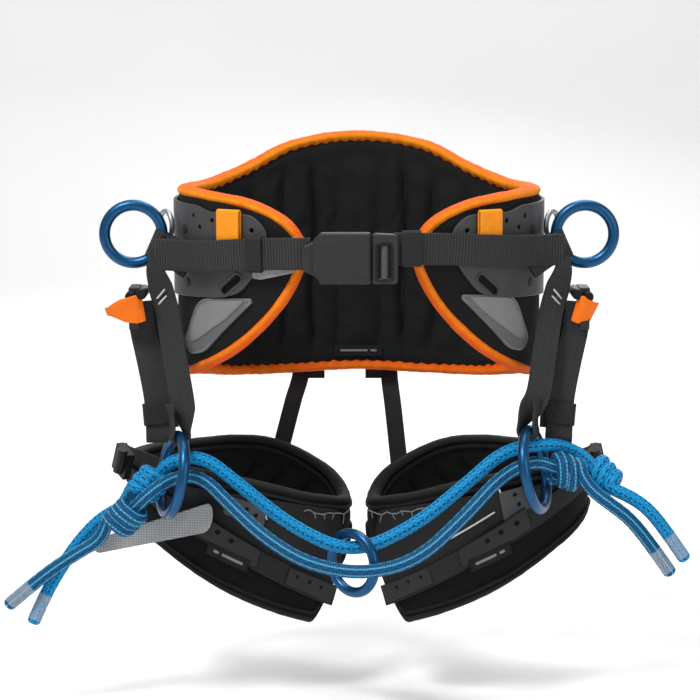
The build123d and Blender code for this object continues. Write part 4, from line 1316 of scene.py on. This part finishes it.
# ---- side ring loops, risers and adjusters ----
def make_ring_loop(name, side, paint):
    """Webbing folded round the side ring's bar, its two ends under the belt's end."""
    hold = np.array(SIDE_HOLD)
    arm = np.array([-cos(SIDE_LEAN), 0, -sin(SIDE_LEAN)])
    reach = 0.0072 + WEB / 2
    angle = np.linspace(radians(112), radians(-112), 15)
    eye = [hold - arm * reach * cos(a) + np.array([0, -reach * sin(a), 0]) for a in angle]
    front = [hold + arm * 0.032 + (0, -0.0240, -0.003), hold + arm * 0.016 + (0, -0.0170, 0)]
    rear = [hold + arm * 0.016 + (0, -0.0050, 0), hold + arm * 0.032 + (0, -0.0200, -0.003)]
    line = through([*front, *eye, *rear], detail=5) * (side, 1, 1)
    across = (side * sin(SIDE_LEAN), 0, -cos(SIDE_LEAN))
    piece = strap(f"ring_loop_{name}_webbing", line, across, 0.0270, WEB, step=0.0015)
    finish(piece, paint["webbing"], "harness", [f"ring_loop_{name}"])


def bridge_loop(name):
    """The fold of a riser round the top of its bridge ring, from its inner side round to the outer one."""
    side = SIDES[name]
    top = np.array(BRIDGE_TOP[name])
    aside = np.array([-BRIDGE_ALONG[1] * side, -BRIDGE_ALONG[0], 0])
    reach = 0.0064 + WEB / 2
    angle = np.linspace(radians(150), radians(390), 13)
    return np.array([top + aside * reach * cos(a) + np.array([0, 0, reach * sin(a)]) for a in angle])


def make_riser(name, side, paint):
    """The webbing from under the belt's end, round the bridge ring's top and sewn back on itself."""
    loop = bridge_loop(name)
    line = np.array(RISER) * (side, 1, 1)
    neck = 0.35 * line[-1] + 0.65 * loop[0] + (0, -0.001, 0.002)
    sewn = loop[-1] + np.array([(0.0002 * side, 0.003, 0.010), (0.0022 * side, 0.0045, 0.026)])
    path = through([*line, neck, *loop, *sewn], detail=12)
    bar = (-side * BRIDGE_ALONG[0], BRIDGE_ALONG[1], 0)
    level = (-side, 0, 0)
    across = [(0, level), (0.140, level), (0.172, bar), (0.215, bar), (0.240, (-side, -0.6, 0))]
    widths = [(0, 0.55), (0.014, 0.75), (0.030, 1), (0.148, 1), (0.168, 0.70), (0.215, 0.62), (0.240, 0.85)]
    piece = strap(f"riser_{name}_webbing", path, across, RISER_W, WEB, flutter=0.0003, seed=6, widths=widths)
    finish(piece, paint["webbing_twill"], "harness", [f"riser_strap_{name}"])
    for index, (start, end) in enumerate(BAR_TACKS):
        tack = np.array([(start[0], -0.0655, start[1]), (end[0], -0.0655, end[1])]) * (side, 1, 1)
        piece = rod(f"riser_{name}_tack_{index}", tack, 0.0009, 8, flat=0.8)
        finish(piece, paint["thread"], "harness")


def make_adjuster(name, side, paint):
    """The adjustable strap with its folded end, and the knobs and folded tab on its buckle."""
    line = np.array(ADJUSTER) * (side, 1, 1)
    end = line[-1]
    fold = [end + step for step in ((0, 0.0012, -0.0035), (0, 0.0045, -0.0040), (0, 0.0068, 0.0010),
                                    (side * 0.0006, 0.0052, 0.0120), (side * 0.0012, 0.0050, 0.0260))]
    path = through([*line, *fold], detail=10)
    piece = strap(f"adjuster_{name}_webbing", path, (-side, 0, 0), ADJUSTER_W, WEB, flutter=0.0003, seed=11)
    finish(piece, paint["webbing_twill"], "harness", [f"adjuster_strap_{name}"])
    behind = through((np.array(ADJUSTER[:-1]) + (-0.0065, 0.0045, 0)) * (side, 1, 1), detail=10)
    piece = strap(f"adjuster_{name}_return", behind, (-side, 0, 0), ADJUSTER_W - 0.002, WEB, flutter=0.0003,
                  seed=12)
    finish(piece, paint["webbing_twill"], "harness")
    for index, (x, z) in enumerate(KNOBS):
        line = [(side * x, y, z) for y in (-0.0870, -0.0800, -0.0600, -0.0460)]
        piece = rod(f"adjuster_{name}_knob_{index}", line, 0.0050, 20, step=0.0012)
        finish(piece, paint["knob"], "harness")
    reach = TAB_REACH[name]
    tab = [(0.1975 + reach * out, y, z) for out, y, z in TAB]
    tab = through(tab, detail=8) * (side, 1, 1)
    piece = strap(f"release_tab_{name}_tape", tab, (0.34 * side, -0.25, 0.93), 0.0270, 0.0024, step=0.0012,
                  widths=[(0, 0.9), (0.008, 1), (0.6 * reach, 0.85), (1.05 * reach, TAB_TIP[name])])
    finish(piece, paint["tab"], f"release_tab_{name}", [f"release_tab_{name}"])


# ---- leg loops ----
def ring_height(wall, ends, front, back):
    """A height all round a wall, from its front and back points and its outer and inner ends."""
    quarter = wall.round / 4
    points = [(-quarter, ends[1]), *sorted((wall.ahead(x), z) for x, z in front), (quarter, ends[0])]
    points += sorted((wall.behind(x) % wall.round, z) for x, z in back)
    line = through([(run + turn * wall.round, z) for turn in (-1, 0, 1) for run, z in points])
    return lambda run: np.interp(run, line[:, 0], line[:, 1])


def make_leg_pad(name, side, paint):
    """The padded band of a leg loop, seamed inside and stitched beside its bound edges."""
    wall = Wall(*LEG, side=side)
    top = ring_height(wall, LEG_RIM_ENDS, LEG_RIM, LEG_RIM_BACK)
    hem = ring_height(wall, LEG_HEM_ENDS, LEG_HEM, LEG_HEM_BACK)
    run = np.linspace(-wall.round / 2, wall.round / 2, 260, endpoint=False)
    up = np.linspace(0, 1, 26)
    low, high = hem(run) + 0.002, top(run) - 0.002
    z = low[:, None] + (high - low)[:, None] * up[None]
    run = np.repeat(run[:, None], 26, axis=1)
    edge = np.minimum(z - low[:, None], high[:, None] - z)
    ridge = np.exp(-((edge - 0.0125) / 0.0026) ** 2)
    outer = -0.0016 * (1 - soft_step(edge / 0.008)) - 0.0010 * ridge + 0.0004 * ripple(run * 110 + z * 60, 21)
    inner = -LEG_PAD + 0.003 * (1 - soft_step(edge / 0.01)) + 0.0012 * ridge
    fade = soft_step((edge - 0.014) / 0.010)
    for x in LEG_SEAMS:
        seam = wall.behind(x) % wall.round - 0.7 * (high[:, None] - z)
        away = (run - seam + wall.round / 2) % wall.round - wall.round / 2
        inner = np.maximum(inner, inner + 0.0040 * np.exp(-(away / 0.0030) ** 2) * fade)
    inner = inner + 0.0004 * ripple(run * 130 + z * 80, 17) * fade
    points = np.concatenate([wall.place(run, z, outer), wall.place(run, z, inner)[:, ::-1]], axis=1)
    over = np.concatenate([z, 2 * z[:, -1:] - z[:, ::-1], (2 * z[:, -1:] - z[:, :1])], axis=1)
    along = np.repeat(np.append(run[:, 0], run[0, 0] + wall.round)[:, None], over.shape[1], axis=1)
    uv = np.stack([along, np.vstack([over, over[:1]])], axis=-1)
    piece = surface(f"leg_pad_{name}_cover", points, uv, wrap_u=True, wrap_v=True)
    finish(piece, paint["leg"], f"leg_{name}", [f"leg_pad_{name}"])
    for part, height, inward in (("rim", top, -1), ("hem", hem, 1)):
        make_leg_edge(f"leg_{part}_{name}", wall, height, inward, name, paint)


def make_leg_edge(piece_name, wall, height, inward, name, paint):
    """A bound edge of the leg pad, and the stitched fold beside it on the outside."""
    run = np.linspace(-wall.round / 2, wall.round / 2, 340, endpoint=False)
    edge = height(run)
    angle = np.linspace(0, 2 * pi, 16, endpoint=False)
    wave = 1 + 0.05 * ripple(run * 240, 13)[:, None]
    z = edge[:, None] + inward * 0.0034 + 0.0042 * wave * np.sin(angle)[None]
    depth = -LEG_PAD / 2 + 0.0066 * wave * np.cos(angle)[None]
    points = wall.place(np.repeat(run[:, None], 16, axis=1), z, depth)
    uv = grid_uv(np.append(run, run[0] + wall.round)[:, None], np.linspace(0, 0.034, 17)[None])
    piece = surface(piece_name + "_binding", points, uv, wrap_u=True, wrap_v=True)
    finish(piece, paint["leg_edge"], f"leg_{name}")
    for face, depth in (("outer", 0.0002), ("inner", -LEG_PAD - 0.0001)):
        line = wall.place(run, edge + inward * 0.0098, depth)
        piece = rod(f"{piece_name}_{face}_fold", line, 0.0017, 8, True, step=0.003)
        finish(piece, paint["leg_edge"], f"leg_{name}")


def on_leg(wall, points):
    return [(wall.ahead(x), z) for x, z in points]


def make_leg_front(name, side, paint):
    """The panel, webbing, plates and label on the front of a leg loop."""
    wall = Wall(*LEG, side=side)
    body = f"leg_{name}"
    panel = rounded(on_leg(wall, LEG_PANEL), [0.004, 0.03, 0.006, 0.02, 0.006, 0.006])
    piece = moulded(f"leg_panel_{name}", wall, panel, 0.0025, 0.0008, step=0.005)
    finish(piece, paint["panel"], body, [f"leg_shell_{name}"])
    line = np.array([(wall.ahead(x), z) for x, z in through(LEG_STRAP, detail=10) if x < LEG[2] + LEG[0]])
    path = wall.place(line[:, 0], line[:, 1], 0.0025 + WEB / 2)
    piece = strap(f"leg_strap_{name}_webbing", path, (0, 0, 1), LEG_STRAP_W, WEB, flutter=0.0002, seed=15)
    finish(piece, paint["webbing_dark"], body, [f"leg_strap_{name}"])
    band_line = np.array([(wall.ahead(x), z) for x, z in LEG_BAND])
    path = through(wall.place(band_line[:, 0], band_line[:, 1], 0.0024), detail=10)
    piece = strap(f"leg_band_{name}", path, (0, 0, 1), 0.0220, 0.0022, flutter=0.0002, seed=25)
    finish(piece, paint["webbing_dark"], body)
    plate = rounded(on_leg(wall, LEG_PLATE), 0.003)
    holes = [circle(wall.ahead(x), z, 0.0023, 14) for x, z in LEG_PLATE_HOLES]
    piece = moulded(f"leg_plate_{name}_body", wall, plate, 0.0022, 0.0006, holes, base=0.0025 + WEB)
    finish(piece, paint["plate_dark"], body, [f"leg_plate_{name}"])
    upper = rounded(on_leg(wall, UPPER_PLATE[name]), 0.004)
    holes = [circle(wall.ahead(x), z, 0.0019, 14) for x, z in UPPER_HOLES[name]]
    piece = moulded(f"leg_upper_plate_{name}", wall, upper, 0.0020, 0.0006, holes, base=0.0025)
    finish(piece, paint["plate"], body)
    inner = rounded(on_leg(wall, INNER_PLATE), 0.003)
    holes = [circle(wall.ahead(x), z, 0.0016, 14) for x, z in INNER_HOLES]
    piece = moulded(f"leg_inner_plate_{name}", wall, inner, 0.0014, 0.0005, holes, base=0.0025 + WEB)
    finish(piece, paint["plate_dark"], body)
    label = rounded(on_leg(wall, LEG_LABEL), 0.0012)
    piece = moulded(f"leg_label_{name}", wall, label, 0.0052, 0.0005, base=0.0030)
    finish(piece, paint["label"], body)
    for index, (start, end) in enumerate(((0.16, 0.28), (0.36, 0.86))):
        bar = [blend_corner(LEG_LABEL, start, 0.40), blend_corner(LEG_LABEL, end, 0.40),
               blend_corner(LEG_LABEL, end, 0.62), blend_corner(LEG_LABEL, start, 0.62)]
        outline = rounded(on_leg(wall, bar), 0.0006)
        piece = moulded(f"leg_label_bar_{name}_{index}", wall, outline, 0.0004, 0.0001, base=0.0081)
        finish(piece, paint["label_mark"], body)
    for index, points in enumerate(scribbles(name)):
        line = wall.place([wall.ahead(x) for x, _ in points], [z for _, z in points], 0.0027)
        piece = rod(f"leg_line_{name}_{index}", line, 0.00055, 6, flat=0.6)
        finish(piece, paint["label_mark"], body)
    for index, (start, end) in enumerate(LEG_TICKS[name]):
        share = np.linspace(0, 1, 12)
        x, z = start[0] + (end[0] - start[0]) * share, start[1] + (end[1] - start[1]) * share
        line = wall.place([wall.ahead(value) for value in x], z, 0.0034)
        piece = rod(f"leg_tick_{name}_{index}", line, 0.0009, 8, flat=0.8)
        finish(piece, paint["thread"], body)


def blend_corner(corners, along, up):
    """A place inside a four-cornered outline, by its shares along the lower and upper edges."""
    low_left, low_right, high_right, high_left = (np.array(c) for c in corners)
    low = low_left + (low_right - low_left) * along
    return tuple(low + (high_left + (high_right - high_left) * along - low) * up)


def scribbles(name):
    """Plain crazed lines under the rim of a leg panel, as lists of (x, height)."""
    start, end = (0.012, 0.056) if name == "r" else (0.010, 0.072)
    chance = np.random.default_rng(31 if name == "r" else 47)
    xs = np.arange(start, end, 0.0045)
    zs = np.interp(xs, *zip(*CRAZE_LINE)) + chance.uniform(-0.0016, 0.0016, len(xs))
    lines = [list(zip(xs, zs))]
    for x, z in lines[0][1:-1:2]:
        lean, drop = chance.uniform(-0.004, 0.004), chance.uniform(0.004, 0.009)
        lines.append([(x, z), (x + lean, z - drop)])
    return lines


def make_tag(paint):
    """The stiff woven tag on the wearer's right."""
    board = Board((-0.138, -0.088, 0), (-0.107, 0.012, 0), (-0.012, -0.107, 0))
    outline = rounded([(-0.002, -0.229), (-0.004, -0.243), (0.001, -0.257), (0.106, -0.280), (0.112, -0.268)],
                      [0.007, 0.008, 0.007, 0.004, 0.006])
    piece = moulded("leg_tag_r_weave", board, outline, 0.0018, 0.0005)
    finish(piece, paint["tag"], "leg_r", ["leg_tag_r"])


# ---- rear straps ----
def make_rear_strap(name, side, paint):
    """The strap from the back of the pad to a leg loop, and its tab on the pad."""
    (top_x, top_z), (low_x, low_z), low_y = REAR_STRAP[name]
    bend = (top_x * 0.6 + low_x * 0.4, WAIST_BACK_Y * 0.62 + low_y * 0.38, top_z * 0.62 + low_z * 0.38)
    path = through([(top_x, WAIST_BACK_Y, top_z + 0.020), (top_x, WAIST_BACK_Y, top_z), bend,
                    (low_x, low_y, low_z)])
    piece = strap(f"rear_strap_{name}_webbing", path, (1, 0, 0), 0.0170, 0.0024, flutter=0.0004, seed=19)
    finish(piece, paint["webbing_dark"], None, [f"rear_strap_{name}"])
    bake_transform(piece)
    shift = side * -0.015
    tab = [(top_x + shift, WAIST_BACK_Y + 0.0005, -0.126), (top_x + shift, WAIST_BACK_Y + 0.0005, -0.1465)]
    piece = strap(f"rear_tab_{name}", tab, (1, 0, 0.08), 0.0180, 0.0028)
    finish(piece, paint["webbing_dark"], "harness")


# ---- materials of the frame's own nodes ----
NODE_LOOKS = {"waist_shell": "shell", "waist_foam": "lining", "waist_lining": "lining",
              "waist_binding": "binding",
              "side_plate": "plate", "plate_rivets": "rivet", "grip_patch": "patch", "tool_loop": "tape",
              "side_ring": "blue", "ring_loop": "webbing", "hanger_ring": "steel", "belt": "webbing",
              "strap_keepers": "webbing_dark", "buckle_housing": "buckle", "buckle_cover": "cover",
              "buckle_frame": "buckle", "buckle_bar": "bar", "riser_strap": "webbing",
              "adjuster_strap": "webbing", "adjuster_buckle": "buckle", "release_tab": "tape",
              "bridge_ring": "blue", "centre_ring": "blue", "leg_pad": "leg", "leg_shell": "panel",
              "leg_strap": "webbing", "leg_plate": "plate", "leg_buckle": "knob", "leg_roller": "bar",
              "leg_tag": "tag", "rear_strap": "webbing_dark", "rope_upper": "rope_upper",
              "rope_lower": "rope_lower", "knot_upper": "rope_upper", "knot_lower": "rope_lower",
              "tail_upper": "rope_upper", "tail_lower": "rope_lower"}


def paint_frame(paint):
    for name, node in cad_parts.items():
        plain = name[:-2] if name[-2:] in ("_r", "_l") else name
        node.data.materials.clear()
        node.data.materials.append(paint[NODE_LOOKS[plain]])


def make_all(paint):
    make_ropes(paint)
    make_waist_pad(paint)
    make_keepers(paint)
    make_buckle(paint)
    make_tag(paint)
    for name, side in SIDES.items():
        make_side_plate(name, side, paint)
        make_patch(name, side, paint)
        make_tool_loop(name, side, paint)
        make_belt(name, paint)
        make_ring_loop(name, side, paint)
        make_riser(name, side, paint)
        make_adjuster(name, side, paint)
        make_leg_pad(name, side, paint)
        make_leg_front(name, side, paint)
        make_rear_strap(name, side, paint)


make_stage()
materials = make_materials()
paint_frame(materials)
make_all(materials)
